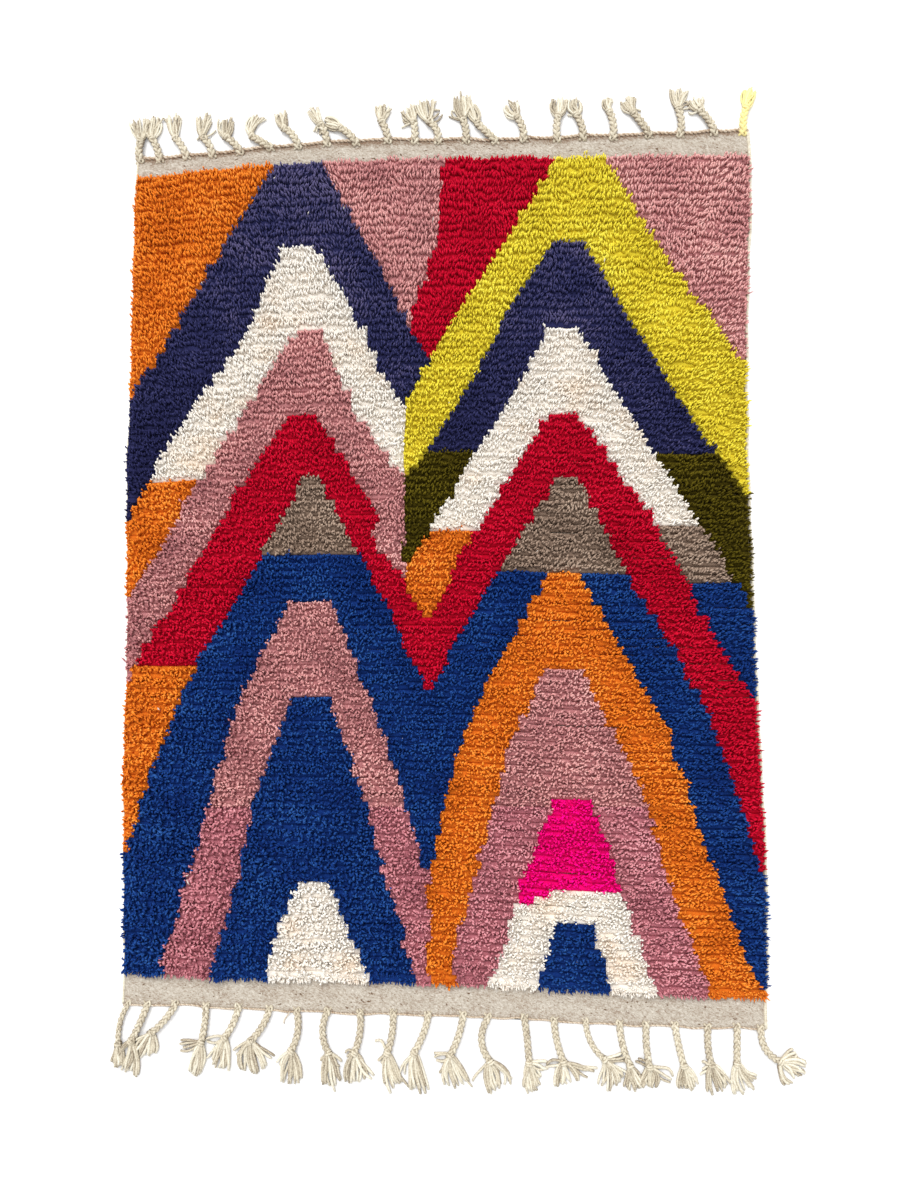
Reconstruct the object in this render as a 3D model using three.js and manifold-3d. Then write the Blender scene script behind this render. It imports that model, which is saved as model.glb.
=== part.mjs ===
// A small shaggy hand-knotted wool rug, lying flat.
// Millimetres, +Z up, +X across the rug and +Y along it, towards the end with the short tassels.
// The underside lies on z = 0. The woven ground carries a ribbed field of pile, and at each end
// a flat-woven band, a thin twined cord and a row of plaited tassels.
import * as THREE from 'three';
import Module from 'manifold-3d';

const wasm = await Module();
wasm.setup();

// Driving sizes
const HALF_WIDTH = 500;
const PIECE_GAP = 0.3;
const GROUND_THICKNESS = 3;
const PILE_HEIGHT = 13;
const PILE_ROWS = 104;
const ROW_VALLEY = 3.4;
const RIM_HEIGHT = 6.5;
const CORD_WIDTH = 4.5;
const BRAID_WIDTH = 14;
const BRAID_HEIGHT = 11;
const PLAIT_PITCH = 10;
const LOCK_WIDTH = 5.2;
const LOCK_HEIGHT = 6.5;
const LOCKS_PER_TUFT = { bottom: 4, top: 3 };
const RIM_LOCKS = { side: 11, end: 18 };

// Side edges of the woven ground, from one end of the rug to the other.
const SIDE_EDGES = [
  { y: -715, left: -494, right: 503 },
  { y: -600, left: -494, right: 507 },
  { y: -450, left: -497, right: 508 },
  { y: -300, left: -500, right: 502 },
  { y: -150, left: -497, right: 497 },
  { y: 0, left: -499, right: 494 },
  { y: 160, left: -503, right: 490 },
  { y: 300, left: -499, right: 490 },
  { y: 450, left: -498, right: 494 },
  { y: 600, left: -497, right: 502 },
  { y: 720, left: -494, right: 500 },
];

// End edges: the ground's own edge at each end, and where the pile stops before it.
const END_EDGES = [
  { x: -510, bottom: -674, pileBottom: -622, pileTop: 632, top: 667 },
  { x: -380, bottom: -677, pileBottom: -631, pileTop: 647, top: 677 },
  { x: -250, bottom: -684, pileBottom: -635, pileTop: 657, top: 692 },
  { x: -100, bottom: -689, pileBottom: -638, pileTop: 664, top: 701 },
  { x: 80, bottom: -694, pileBottom: -644, pileTop: 667, top: 701 },
  { x: 250, bottom: -704, pileBottom: -655, pileTop: 669, top: 707 },
  { x: 380, bottom: -709, pileBottom: -660, pileTop: 671, top: 712 },
  { x: 510, bottom: -712, pileBottom: -664, pileTop: 672, top: 717 },
];

// Tassels by the place of their root on the end edge. Leans are degrees from straight out,
// positive towards +X, and spread is the angle between a tuft's outermost locks.
const BOTTOM_TASSELS = [
  { root: -485, braid: 55, lean: -14, tuft: 38, tuftLean: -14, spread: 30 },
  { root: -452, braid: 60, lean: -20, tuft: 52, tuftLean: 8, spread: 36 },
  { root: -410, braid: 60, lean: -33, tuft: 37, tuftLean: -4, spread: 44 },
  { root: -365, braid: 47, lean: -7, tuft: 55, tuftLean: -20, spread: 64 },
  { root: -315, braid: 50, lean: -22, tuft: 45, tuftLean: -6, spread: 60 },
  { root: -265, braid: 57, lean: -29, tuft: 46, tuftLean: 10, spread: 70 },
  { root: -222, braid: 60, lean: -9, tuft: 52, tuftLean: -4, spread: 50 },
  { root: -177, braid: 58, lean: 0, tuft: 54, tuftLean: 8, spread: 44 },
  { root: -126, braid: 57, lean: -6, tuft: 46, tuftLean: 10, spread: 52 },
  { root: -77, braid: 56, lean: -8, tuft: 56, tuftLean: 14, spread: 38 },
  { root: -22, braid: 60, lean: -20, tuft: 54, tuftLean: 8, spread: 40 },
  { root: 32, braid: 62, lean: -18, tuft: 48, tuftLean: 8, spread: 76 },
  { root: 72, braid: 61, lean: 3, tuft: 58, tuftLean: 15, spread: 40 },
  { root: 128, braid: 64, lean: 6, tuft: 48, tuftLean: 14, spread: 58 },
  { root: 174, braid: 59, lean: 13, tuft: 40, tuftLean: 12, spread: 70 },
  { root: 226, braid: 56, lean: 22, tuft: 52, tuftLean: 8, spread: 48 },
  { root: 276, braid: 62, lean: 13, tuft: 44, tuftLean: 2, spread: 40 },
  { root: 319, braid: 55, lean: 0, tuft: 44, tuftLean: 20, spread: 56 },
  { root: 364, braid: 60, lean: 7, tuft: 40, tuftLean: 12, spread: 52 },
  { root: 412, braid: 57, lean: 3, tuft: 50, tuftLean: 20, spread: 52 },
  { root: 456, braid: 54, lean: -1, tuft: 48, tuftLean: 22, spread: 44 },
  { root: 494, braid: 56, lean: 30, tuft: 38, tuftLean: 62, spread: 60 },
];
const TOP_TASSELS = [
  { root: -485, braid: 30, lean: 2, tuft: 36, tuftLean: -8, spread: 38 },
  { root: -456, braid: 32, lean: -16, tuft: 34, tuftLean: 8, spread: 38 },
  { root: -416, braid: 32, lean: -22, tuft: 34, tuftLean: -8, spread: 42 },
  { root: -373, braid: 31, lean: -24, tuft: 36, tuftLean: 2, spread: 44 },
  { root: -330, braid: 30, lean: -36, tuft: 29, tuftLean: -4, spread: 44 },
  { root: -280, braid: 30, lean: -44, tuft: 33, tuftLean: 4, spread: 48 },
  { root: -234, braid: 34, lean: -36, tuft: 29, tuftLean: -10, spread: 40 },
  { root: -190, braid: 30, lean: -14, tuft: 30, tuftLean: -18, spread: 38 },
  { root: -134, braid: 30, lean: -48, tuft: 26, tuftLean: -44, spread: 40 },
  { root: -88, braid: 28, lean: -18, tuft: 28, tuftLean: 2, spread: 52 },
  { root: -46, braid: 30, lean: -2, tuft: 26, tuftLean: -28, spread: 44 },
  { root: -10, braid: 28, lean: -4, tuft: 33, tuftLean: 2, spread: 52 },
  { root: 40, braid: 31, lean: -10, tuft: 42, tuftLean: -4, spread: 38 },
  { root: 86, braid: 36, lean: -34, tuft: 28, tuftLean: -22, spread: 44 },
  { root: 133, braid: 31, lean: -18, tuft: 32, tuftLean: -24, spread: 52 },
  { root: 187, braid: 31, lean: 2, tuft: 32, tuftLean: 2, spread: 44 },
  { root: 230, braid: 31, lean: -16, tuft: 30, tuftLean: -4, spread: 40 },
  { root: 278, braid: 38, lean: -8, tuft: 26, tuftLean: -2, spread: 38 },
  { root: 336, braid: 40, lean: -28, tuft: 28, tuftLean: -26, spread: 48 },
  { root: 387, braid: 35, lean: 2, tuft: 38, tuftLean: -4, spread: 50 },
  { root: 442, braid: 38, lean: -28, tuft: 26, tuftLean: -24, spread: 44 },
  { root: 488, braid: 36, lean: 6, tuft: 32, tuftLean: 10, spread: 38 },
];

// Low swells of the pile: their lengths across and along the rug, and their height.
const PILE_SWELLS = [
  { across: 330, along: 410, height: 0.9 },
  { across: 210, along: 170, height: 0.7 },
  { across: 120, along: 290, height: 0.5 },
];

const random = THREE.MathUtils.seededRandom;
const lerp = THREE.MathUtils.lerp;
random(7);

function randomBetween(low, high) {
  return lerp(low, high, random());
}

// A table's named column at a place along its first column, straight between its rows.
function columnAt(table, along, column, place) {
  const found = table.findIndex((row) => row[along] >= place);
  const next = Math.max(found < 0 ? table.length - 1 : found, 1);
  const before = table[next - 1];
  const after = table[next];
  const share = (place - before[along]) / (after[along] - before[along]);
  return lerp(before[column], after[column], share);
}

// The hand-woven edges wander a little more than the tables say.
const WANDER_HEIGHT = 0.9;
const WANDER_LENGTH = 17;

function sideX(side, y) {
  return columnAt(SIDE_EDGES, 'y', side, y) + WANDER_HEIGHT * Math.sin(y / WANDER_LENGTH);
}

function endY(edge, x) {
  return columnAt(END_EDGES, 'x', edge, x) + WANDER_HEIGHT * Math.sin(x / WANDER_LENGTH);
}

// Triangles between two lines of vertex numbers, both running towards +X, with the first nearer -Y.
function zip(near, far) {
  const faces = [];
  let a = 0;
  let b = 0;
  while (a < near.length - 1 || b < far.length - 1) {
    const nearShare = (a + 1) / (near.length - 1);
    const farShare = (b + 1) / (far.length - 1);
    if (nearShare <= farShare) {
      faces.push([near[a], near[a + 1], far[b]]);
      a += 1;
    } else {
      faces.push([near[a], far[b + 1], far[b]]);
      b += 1;
    }
  }
  return faces;
}

// The vertex numbers round the outside of a face, counterclockwise from above.
function rim(lines) {
  const middle = lines.slice(1, -1);
  const rightSide = middle.map((line) => line.at(-1));
  const leftSide = middle.map((line) => line[0]).reverse();
  return [...lines[0], ...rightSide, ...lines.at(-1).toReversed(), ...leftSide];
}

function geometryFrom(points, faces) {
  const geometry = new THREE.BufferGeometry().setFromPoints(points);
  geometry.setIndex(faces.flat());
  geometry.computeVertexNormals();
  return geometry;
}

// A closed flat body between an upper and a lower face. Each face is a list of lines of points
// that run towards +X, with as many lines in both, and first and last lines of equal length.
function slabGeometry(upperLines, lowerLines) {
  const points = [];
  const number = (line) => line.map((point) => points.push(point) - 1);
  const upper = upperLines.map(number);
  const lower = lowerLines.map(number);
  const faces = [];
  for (let line = 0; line < upper.length - 1; line += 1) {
    faces.push(...zip(upper[line], upper[line + 1]));
    faces.push(...zip(lower[line], lower[line + 1]).map((face) => face.toReversed()));
  }
  const above = rim(upper);
  const below = rim(lower);
  above.forEach((corner, place) => {
    const next = (place + 1) % above.length;
    faces.push([below[place], below[next], above[next]]);
    faces.push([below[place], above[next], corner]);
  });
  return geometryFrom(points, faces);
}

// A closed body through rings of points that lie one after the other along a path.
function loftGeometry(rings) {
  const sides = rings[0].length;
  const faces = [];
  for (let first = 0; first < (rings.length - 1) * sides; first += sides) {
    for (let side = 0; side < sides; side += 1) {
      const here = first + side;
      const beside = first + (side + 1) % sides;
      faces.push([here, here + sides, beside + sides]);
      faces.push([here, beside + sides, beside]);
    }
  }
  const last = (rings.length - 1) * sides;
  for (let side = 1; side < sides - 1; side += 1) {
    faces.push([0, side, side + 1]);
    faces.push([last, last + side + 1, last + side]);
  }
  return geometryFrom(rings.flat(), faces);
}

function toSolid(geometry) {
  return new wasm.Manifold(new wasm.Mesh({
    numProp: 3,
    vertProperties: geometry.attributes.position.array,
    triVerts: new Uint32Array(geometry.index.array),
  }));
}

function joined(geometries) {
  const solid = geometries.map(toSolid).reduce((whole, piece) => whole.add(piece));
  const mesh = solid.getMesh();
  const geometry = new THREE.BufferGeometry();
  geometry.setAttribute('position', new THREE.BufferAttribute(mesh.vertProperties, 3));
  geometry.setIndex(new THREE.BufferAttribute(mesh.triVerts, 1));
  geometry.computeVertexNormals();
  return geometry;
}

// The crown of a four-sided strand is narrower than its foot by this share.
const CROWN_SHARE = 0.62;

// The rings of a strand along a curve that lies flat. The section tells, for a share of the way,
// the strand's underside, its height, and how far it reaches to its left and right.
function strandRings(curve, steps, sides, section) {
  const rings = [];
  for (let step = 0; step <= steps; step += 1) {
    const share = step / steps;
    const centre = curve.getPoint(share);
    const ahead = curve.getTangent(share);
    const { base, height, left, right } = section(share, step);
    const across = new THREE.Vector3(ahead.y, -ahead.x, 0).normalize();
    const at = (reach, z) => centre.clone().addScaledVector(across, reach).setZ(z);
    const crown = sides === 3
      ? [at(0, base + height)]
      : [at(right * CROWN_SHARE, base + height), at(-left * CROWN_SHARE, base + height)];
    rings.push([at(-left, base), at(right, base), ...crown]);
  }
  return rings;
}

function mesh(name, geometry, colour, roughness) {
  const material = new THREE.MeshStandardMaterial({ color: colour, roughness, metalness: 0 });
  const made = new THREE.Mesh(geometry, material);
  made.name = name;
  return made;
}

// Woven ground: both end bands, and sides beaded where the weft turns round the outer warps.
const BEAD_DEPTH = 0.7;
const BEADS = 52;
const END_STEPS = 42;

function endLine(edge, z, offset) {
  const left = sideX('left', endY(edge, -HALF_WIDTH));
  const right = sideX('right', endY(edge, HALF_WIDTH));
  const line = [];
  for (let step = 0; step <= END_STEPS; step += 1) {
    const x = lerp(left, right, step / END_STEPS);
    line.push(new THREE.Vector3(x, endY(edge, x) + offset, z));
  }
  return line;
}

function groundFace(z) {
  const lines = [endLine('bottom', z, 0)];
  for (let step = 1; step < 2 * BEADS; step += 1) {
    const share = step / (2 * BEADS);
    const leftY = lerp(endY('bottom', -HALF_WIDTH), endY('top', -HALF_WIDTH), share);
    const rightY = lerp(endY('bottom', HALF_WIDTH), endY('top', HALF_WIDTH), share);
    const bead = step % 2 ? BEAD_DEPTH : 0;
    lines.push([
      new THREE.Vector3(sideX('left', leftY) - bead, leftY, z),
      new THREE.Vector3(sideX('right', rightY) + bead, rightY, z),
    ]);
  }
  lines.push(endLine('top', z, 0));
  return lines;
}

function groundWeave() {
  const geometry = slabGeometry(groundFace(GROUND_THICKNESS), groundFace(0));
  return mesh('ground_weave', geometry, '#c4b6a8', 0.95);
}

// Pile field: a slab with a rib for each row of knots, low swells and a ragged rim with locks.
const PILE_FOOT = GROUND_THICKNESS + PIECE_GAP;
const LEFT_SELVEDGE = 2;
const RIGHT_SELVEDGE = 7;
const TIP_REACH = 3;
const RIM_SHARE = 0.009;
const PILE_CELLS = 6;
const UNEVENNESS = 0.7;
const PILE_MIDDLE = { bottom: -644, top: 660 };

function pilePoint(across, along) {
  const middleY = lerp(PILE_MIDDLE.bottom, PILE_MIDDLE.top, along);
  const left = sideX('left', middleY) + LEFT_SELVEDGE;
  const right = sideX('right', middleY) - RIGHT_SELVEDGE;
  const x = lerp(left, right, across);
  return new THREE.Vector3(x, lerp(endY('pileBottom', x), endY('pileTop', x), along), PILE_FOOT);
}

function swellAt(x, y) {
  const waves = PILE_SWELLS.map((swell) => {
    const acrossWave = Math.sin(2 * Math.PI * x / swell.across + swell.along);
    const alongWave = Math.cos(2 * Math.PI * y / swell.along + swell.across);
    return swell.height * acrossWave * alongWave;
  });
  return waves.reduce((sum, wave) => sum + wave, 0);
}

function pileColumns() {
  const columns = [0, RIM_SHARE];
  for (let cell = 1; cell < PILE_CELLS; cell += 1) {
    columns.push(cell / PILE_CELLS);
  }
  columns.push(1 - RIM_SHARE, 1);
  return columns;
}

function pileSlab() {
  const columns = pileColumns();
  const upper = [];
  const lower = [];
  const lastLine = 2 * PILE_ROWS;
  for (let line = 0; line <= lastLine; line += 1) {
    const crest = line % 2 === 1;
    const atEnd = line === 0 || line === lastLine;
    const foot = columns.map((across) => pilePoint(across, line / lastLine));
    lower.push(atEnd ? foot : [foot[0], foot.at(-1)]);
    upper.push(foot.map((point, column) => {
      const raised = point.clone();
      const atSide = column === 0 || column === columns.length - 1;
      const rise = PILE_HEIGHT + swellAt(point.x, point.y) + randomBetween(-UNEVENNESS, UNEVENNESS);
      raised.z += atEnd || atSide ? RIM_HEIGHT : rise - (crest ? 0 : ROW_VALLEY);
      const outward = column === 0 ? -1 : 1;
      raised.x += atSide && crest ? outward * randomBetween(0, TIP_REACH) : 0;
      return raised;
    }));
  }
  return slabGeometry(upper, lower);
}

// A lock of pile that leans out over the slab's rim, from inside it down to just above the ground.
const RIM_LOCK = {
  inside: 10, reach: 11, width: 12, taper: 0.75, rootHeight: 8, tipHeight: 3, drop: 3.6, clearance: 0.8,
};
const RIM_LOCK_LEAN = 0.5;

function rimLock(across, along, out, lean) {
  const edge = pilePoint(across, along);
  const heading = out.clone().applyAxisAngle(new THREE.Vector3(0, 0, 1), lean);
  const root = edge.clone().addScaledVector(out, -RIM_LOCK.inside);
  const tip = edge.clone().addScaledVector(heading, RIM_LOCK.reach);
  return loftGeometry(strandRings(new THREE.LineCurve3(root, tip), 2, 3, (share) => {
    const side = RIM_LOCK.width / 2 * (1 - RIM_LOCK.taper * share);
    return {
      base: PILE_FOOT + RIM_LOCK.clearance + RIM_LOCK.drop * (1 - share) ** 2,
      height: lerp(RIM_LOCK.rootHeight, RIM_LOCK.tipHeight, share),
      left: side,
      right: side,
    };
  }));
}

function rimLocks() {
  const locks = [];
  const lean = () => randomBetween(-RIM_LOCK_LEAN, RIM_LOCK_LEAN);
  const share = (place, count) => (place + randomBetween(0.2, 0.8)) / count;
  for (let place = 0; place < RIM_LOCKS.side; place += 1) {
    locks.push(rimLock(0, share(place, RIM_LOCKS.side), new THREE.Vector3(-1, 0, 0), lean()));
    locks.push(rimLock(1, share(place, RIM_LOCKS.side), new THREE.Vector3(1, 0, 0), lean()));
  }
  for (let place = 0; place < RIM_LOCKS.end; place += 1) {
    locks.push(rimLock(share(place, RIM_LOCKS.end), 0, new THREE.Vector3(0, -1, 0), lean()));
    locks.push(rimLock(share(place, RIM_LOCKS.end), 1, new THREE.Vector3(0, 1, 0), lean()));
  }
  return locks;
}

function pileField() {
  return mesh('pile_field', joined([pileSlab(), ...rimLocks()]), '#1c3f7a', 1);
}

// Twined cord along an end edge. Its crown tips from side to side, as its two yarns cross.
const CORD_CROWN = { low: 3.4, high: 5.2 };

function endCord(name, edge, outward) {
  const inner = endLine(edge, 0, outward * PIECE_GAP);
  const rings = inner.map((point, step) => {
    const far = point.clone().setY(point.y + outward * CORD_WIDTH);
    const [left, right] = outward > 0 ? [far, point] : [point, far];
    const tipped = step % 2 === 1;
    const leftCrown = left.clone().setZ(tipped ? CORD_CROWN.low : CORD_CROWN.high);
    const rightCrown = right.clone().setZ(tipped ? CORD_CROWN.high : CORD_CROWN.low);
    return [left, right, rightCrown, leftCrown];
  });
  return mesh(name, loftGeometry(rings), '#a8937a', 0.95);
}

// Tassels: a plait of three strands, bound at its end, and a tuft of locks lying on the floor.
// The cord's straight steps stray a little from the curved edge, so the plaits start clear of it.
const ROOT_GAP = 0.7;
const RIDGE_SHARE = 0.14;
const BINDING_SHARE = 0.88;
const BRAID_BEND = 0.4;
const LOCK_ROOT = { depth: 2, spread: 8.4, rise: 1, stagger: 0.3 };
// A lock's width and height at its root, middle and tip, as shares of its greatest.
const LOCK_WIDTHS = [0.45, 1, 0.5];
const LOCK_HEIGHTS = [1, 0.85, 0.4];
// A tuft's outer locks, and every second one, are shorter by these shares.
const OUTER_SHORTENING = 0.13;
const SECOND_SHORTENING = 0.12;

function direction(outward, degrees) {
  const angle = THREE.MathUtils.degToRad(degrees);
  return new THREE.Vector3(Math.sin(angle), outward * Math.cos(angle), 0);
}

function braidGeometry(curve, length) {
  const steps = Math.round(length / PLAIT_PITCH) + 1;
  return loftGeometry(strandRings(curve, steps, 4, (share, step) => {
    const atEnd = step === 0 || step === steps;
    const ridge = (step % 2 ? RIDGE_SHARE : -RIDGE_SHARE) * (atEnd ? 0 : 1);
    const halfWidth = BRAID_WIDTH / 2 * (atEnd ? BINDING_SHARE : 1);
    return {
      base: 0,
      height: BRAID_HEIGHT * (atEnd ? BINDING_SHARE : 1 - Math.abs(ridge) * (step % 2)),
      left: halfWidth * (1 + ridge),
      right: halfWidth * (1 - ridge),
    };
  }));
}

function lockGeometry(start, heading, end, order) {
  const bend = start.clone().addScaledVector(heading, start.distanceTo(end) * BRAID_BEND);
  const curve = new THREE.QuadraticBezierCurve3(start, bend, end);
  return loftGeometry(strandRings(curve, 2, 3, (share, step) => ({
    base: step === 0 ? LOCK_ROOT.rise + LOCK_ROOT.stagger * order : 0,
    height: LOCK_HEIGHT * LOCK_HEIGHTS[step],
    left: LOCK_WIDTH / 2 * LOCK_WIDTHS[step],
    right: LOCK_WIDTH / 2 * LOCK_WIDTHS[step],
  })));
}

function tassel(name, edge, outward, locks, row) {
  const rise = endY(edge, row.root + BRAID_WIDTH / 2) - endY(edge, row.root - BRAID_WIDTH / 2);
  const square = new THREE.Vector3(-rise, BRAID_WIDTH, 0).normalize().multiplyScalar(outward);
  const root = new THREE.Vector3(row.root, endY(edge, row.root), 0);
  root.addScaledVector(square, PIECE_GAP + CORD_WIDTH + ROOT_GAP);
  const end = root.clone().addScaledVector(direction(outward, row.lean), row.braid);
  const curve = new THREE.QuadraticBezierCurve3(
    root,
    root.clone().addScaledVector(square, row.braid * BRAID_BEND),
    end,
  );
  const heading = curve.getTangent(1);
  const across = new THREE.Vector3(outward * heading.y, -outward * heading.x, 0);
  const pieces = [braidGeometry(curve, row.braid)];
  for (let lock = 0; lock < locks; lock += 1) {
    const place = lock / (locks - 1) - 0.5;
    const shortening = OUTER_SHORTENING * 2 * Math.abs(place) + SECOND_SHORTENING * (lock % 2);
    const start = end.clone().addScaledVector(heading, -LOCK_ROOT.depth);
    start.addScaledVector(across, LOCK_ROOT.spread * place);
    const fan = direction(outward, row.tuftLean + row.spread * place);
    const tip = end.clone().addScaledVector(fan, row.tuft * (1 - shortening));
    pieces.push(lockGeometry(start, heading, tip, lock));
  }
  return mesh(name, joined(pieces), '#dfd8c8', 0.95);
}

function tasselRow(end, outward, rows) {
  return rows.map((row, place) => {
    const number = String(place + 1).padStart(2, '0');
    return tassel(`tassel_${end}_${number}`, end, outward, LOCKS_PER_TUFT[end], row);
  });
}

const rug = new THREE.Group();
rug.add(groundWeave());
rug.add(pileField());
rug.add(endCord('end_cord_bottom', 'bottom', -1));
rug.add(endCord('end_cord_top', 'top', 1));
rug.add(...tasselRow('bottom', -1, BOTTOM_TASSELS));
rug.add(...tasselRow('top', 1, TOP_TASSELS));

// The origin is under the middle of everything.
const middle = new THREE.Box3().setFromObject(rug).getCenter(new THREE.Vector3());
rug.position.set(-middle.x, -middle.y, 0);
rug.updateMatrixWorld(true);

export default rug;
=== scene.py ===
"""A small shaggy hand-knotted wool rug with nested coloured peaks, lying flat on a pale floor.

The tables are in millimetres in the rug's own drawing frame, +X across it and +Y towards the
short tassels. The pattern's chart is in centimetres in the same frame. Everything is moved into
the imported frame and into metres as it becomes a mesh.
"""

import math
from functools import partial

import bpy
import numpy as np
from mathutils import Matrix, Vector


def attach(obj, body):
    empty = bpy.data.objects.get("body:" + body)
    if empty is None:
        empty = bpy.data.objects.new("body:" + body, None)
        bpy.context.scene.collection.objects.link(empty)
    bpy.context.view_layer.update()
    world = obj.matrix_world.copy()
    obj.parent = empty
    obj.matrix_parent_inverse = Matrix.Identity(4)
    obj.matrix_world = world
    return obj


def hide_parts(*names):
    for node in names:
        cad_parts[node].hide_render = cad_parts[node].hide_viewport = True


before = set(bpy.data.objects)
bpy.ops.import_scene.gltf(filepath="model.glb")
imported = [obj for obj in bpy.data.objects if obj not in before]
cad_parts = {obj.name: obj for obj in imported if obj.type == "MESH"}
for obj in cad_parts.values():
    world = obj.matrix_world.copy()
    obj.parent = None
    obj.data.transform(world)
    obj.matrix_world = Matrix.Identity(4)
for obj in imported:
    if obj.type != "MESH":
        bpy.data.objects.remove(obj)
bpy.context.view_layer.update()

MILLIMETRE = 0.001
# Where the drawing frame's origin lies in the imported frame, in millimetres.
DRAWING_ORIGIN = np.array([-20.253, 15.271, 0.0])

SEED = 11
random = np.random.default_rng(SEED)
uniform, normal = random.uniform, random.normal
scene = bpy.context.scene

BLACK = (0.0, 0.0, 0.0, 1.0)
WHITE = (1.0, 1.0, 1.0, 1.0)

# Camera, light and floor

CAMERA_DISTANCE = 1.6
CAMERA_TILT = math.radians(3.15)
LOOK_AT = Vector((-0.00725, -0.03173, 0.0))
FRAME_HEIGHT = 1200
FOCAL_PIXELS = 1008
SENSOR = 36.0
# The one lamp is wide and soft. Its azimuth is in degrees from +X towards +Y.
KEY_LIGHT = {"strength": 2.0, "softness": 34, "elevation": 50, "azimuth": 112}
SKY_STRENGTH = 1.05
FLOOR_HALF = 6.0
FLOOR_GAP = 0.0006
FLOOR_PAINT = {"Base Color": (0.95, 0.95, 0.95, 1.0), "Roughness": 0.9}


def add_object(name, data):
    made = bpy.data.objects.new(name, data)
    scene.collection.objects.link(made)
    return made


def add_camera():
    data = bpy.data.cameras.new("camera")
    data.sensor_fit = "VERTICAL"
    data.sensor_height = SENSOR
    data.lens = FOCAL_PIXELS / FRAME_HEIGHT * SENSOR
    camera = add_object("camera", data)
    back = Vector((0.0, -math.sin(CAMERA_TILT), math.cos(CAMERA_TILT)))
    camera.location = LOOK_AT + CAMERA_DISTANCE * back
    camera.rotation_euler = (CAMERA_TILT, 0.0, 0.0)
    scene.camera = camera


def add_key_light():
    data = bpy.data.lights.new("key_light", "SUN")
    data.energy = KEY_LIGHT["strength"]
    data.angle = math.radians(KEY_LIGHT["softness"])
    lean = math.radians(90 - KEY_LIGHT["elevation"])
    lamp = add_object("key_light", data)
    lamp.rotation_euler = (0.0, lean, math.radians(KEY_LIGHT["azimuth"]))


def add_sky():
    world = bpy.data.worlds.new("sky")
    scene.world = world
    world.use_nodes = True
    background = world.node_tree.nodes["Background"]
    background.inputs["Color"].default_value = WHITE
    background.inputs["Strength"].default_value = SKY_STRENGTH


def add_floor():
    data = bpy.data.meshes.new("floor")
    half = FLOOR_HALF
    corners = [(-half, -half, 0), (half, -half, 0), (half, half, 0), (-half, half, 0)]
    data.from_pydata(corners, [], [(0, 1, 2, 3)])
    floor = add_object("floor", data)
    floor.location.z = -FLOOR_GAP
    paint = bpy.data.materials.new("floor_paint")
    paint.use_nodes = True
    shader = paint.node_tree.nodes["Principled BSDF"]
    for socket, value in FLOOR_PAINT.items():
        shader.inputs[socket].default_value = value
    data.materials.append(paint)


scene.view_settings.view_transform = "Standard"
scene.view_settings.look = "None"
add_camera()
add_key_light()
add_sky()
add_floor()

# The rug's outline, as in the part's own source

HALF_WIDTH = 500
GROUND_THICKNESS = 3
PIECE_GAP = 0.3
SIDE_EDGES = {
    "y": [-715, -600, -450, -300, -150, 0, 160, 300, 450, 600, 720],
    "left": [-494, -494, -497, -500, -497, -499, -503, -499, -498, -497, -494],
    "right": [503, 507, 508, 502, 497, 494, 490, 490, 494, 502, 500],
}
END_EDGES = {
    "x": [-510, -380, -250, -100, 80, 250, 380, 510],
    "bottom": [-674, -677, -684, -689, -694, -704, -709, -712],
    "pile_bottom": [-622, -631, -635, -638, -644, -655, -660, -664],
    "pile_top": [632, 647, 657, 664, 667, 669, 671, 672],
    "top": [667, 677, 692, 701, 701, 707, 712, 717],
}
WANDER_HEIGHT = 0.9
WANDER_LENGTH = 17
LEFT_SELVEDGE = 2
RIGHT_SELVEDGE = 7
PILE_MIDDLE = {"bottom": -644, "top": 660}
PILE_FOOT = GROUND_THICKNESS + PIECE_GAP
PILE_ROWS = 104
KNOTS = 125


def lerp(start, end, share):
    return start + (end - start) * share


def side_x(side, y):
    wander = WANDER_HEIGHT * np.sin(y / WANDER_LENGTH)
    return np.interp(y, SIDE_EDGES["y"], SIDE_EDGES[side]) + wander


def end_y(edge, x):
    wander = WANDER_HEIGHT * np.sin(x / WANDER_LENGTH)
    return np.interp(x, END_EDGES["x"], END_EDGES[edge]) + wander


def pile_point(across, along):
    """A place in the pile, from shares of the way across and along it."""
    middle = lerp(PILE_MIDDLE["bottom"], PILE_MIDDLE["top"], along)
    left = side_x("left", middle) + LEFT_SELVEDGE
    right = side_x("right", middle) - RIGHT_SELVEDGE
    x = lerp(left, right, across)
    y = lerp(end_y("pile_bottom", x), end_y("pile_top", x), along)
    return x, y


# The pattern: two columns of nested flat-topped peaks, charted to half a centimetre.
# Each is its left edge, its right edge, and the colours of both legs or of each. Later peaks
# cover earlier ones. An edge is a list of (height, x) from its top down, and runs straight down
# from its last point. Each colour has the height from which it is used, down to the next one's.

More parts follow.
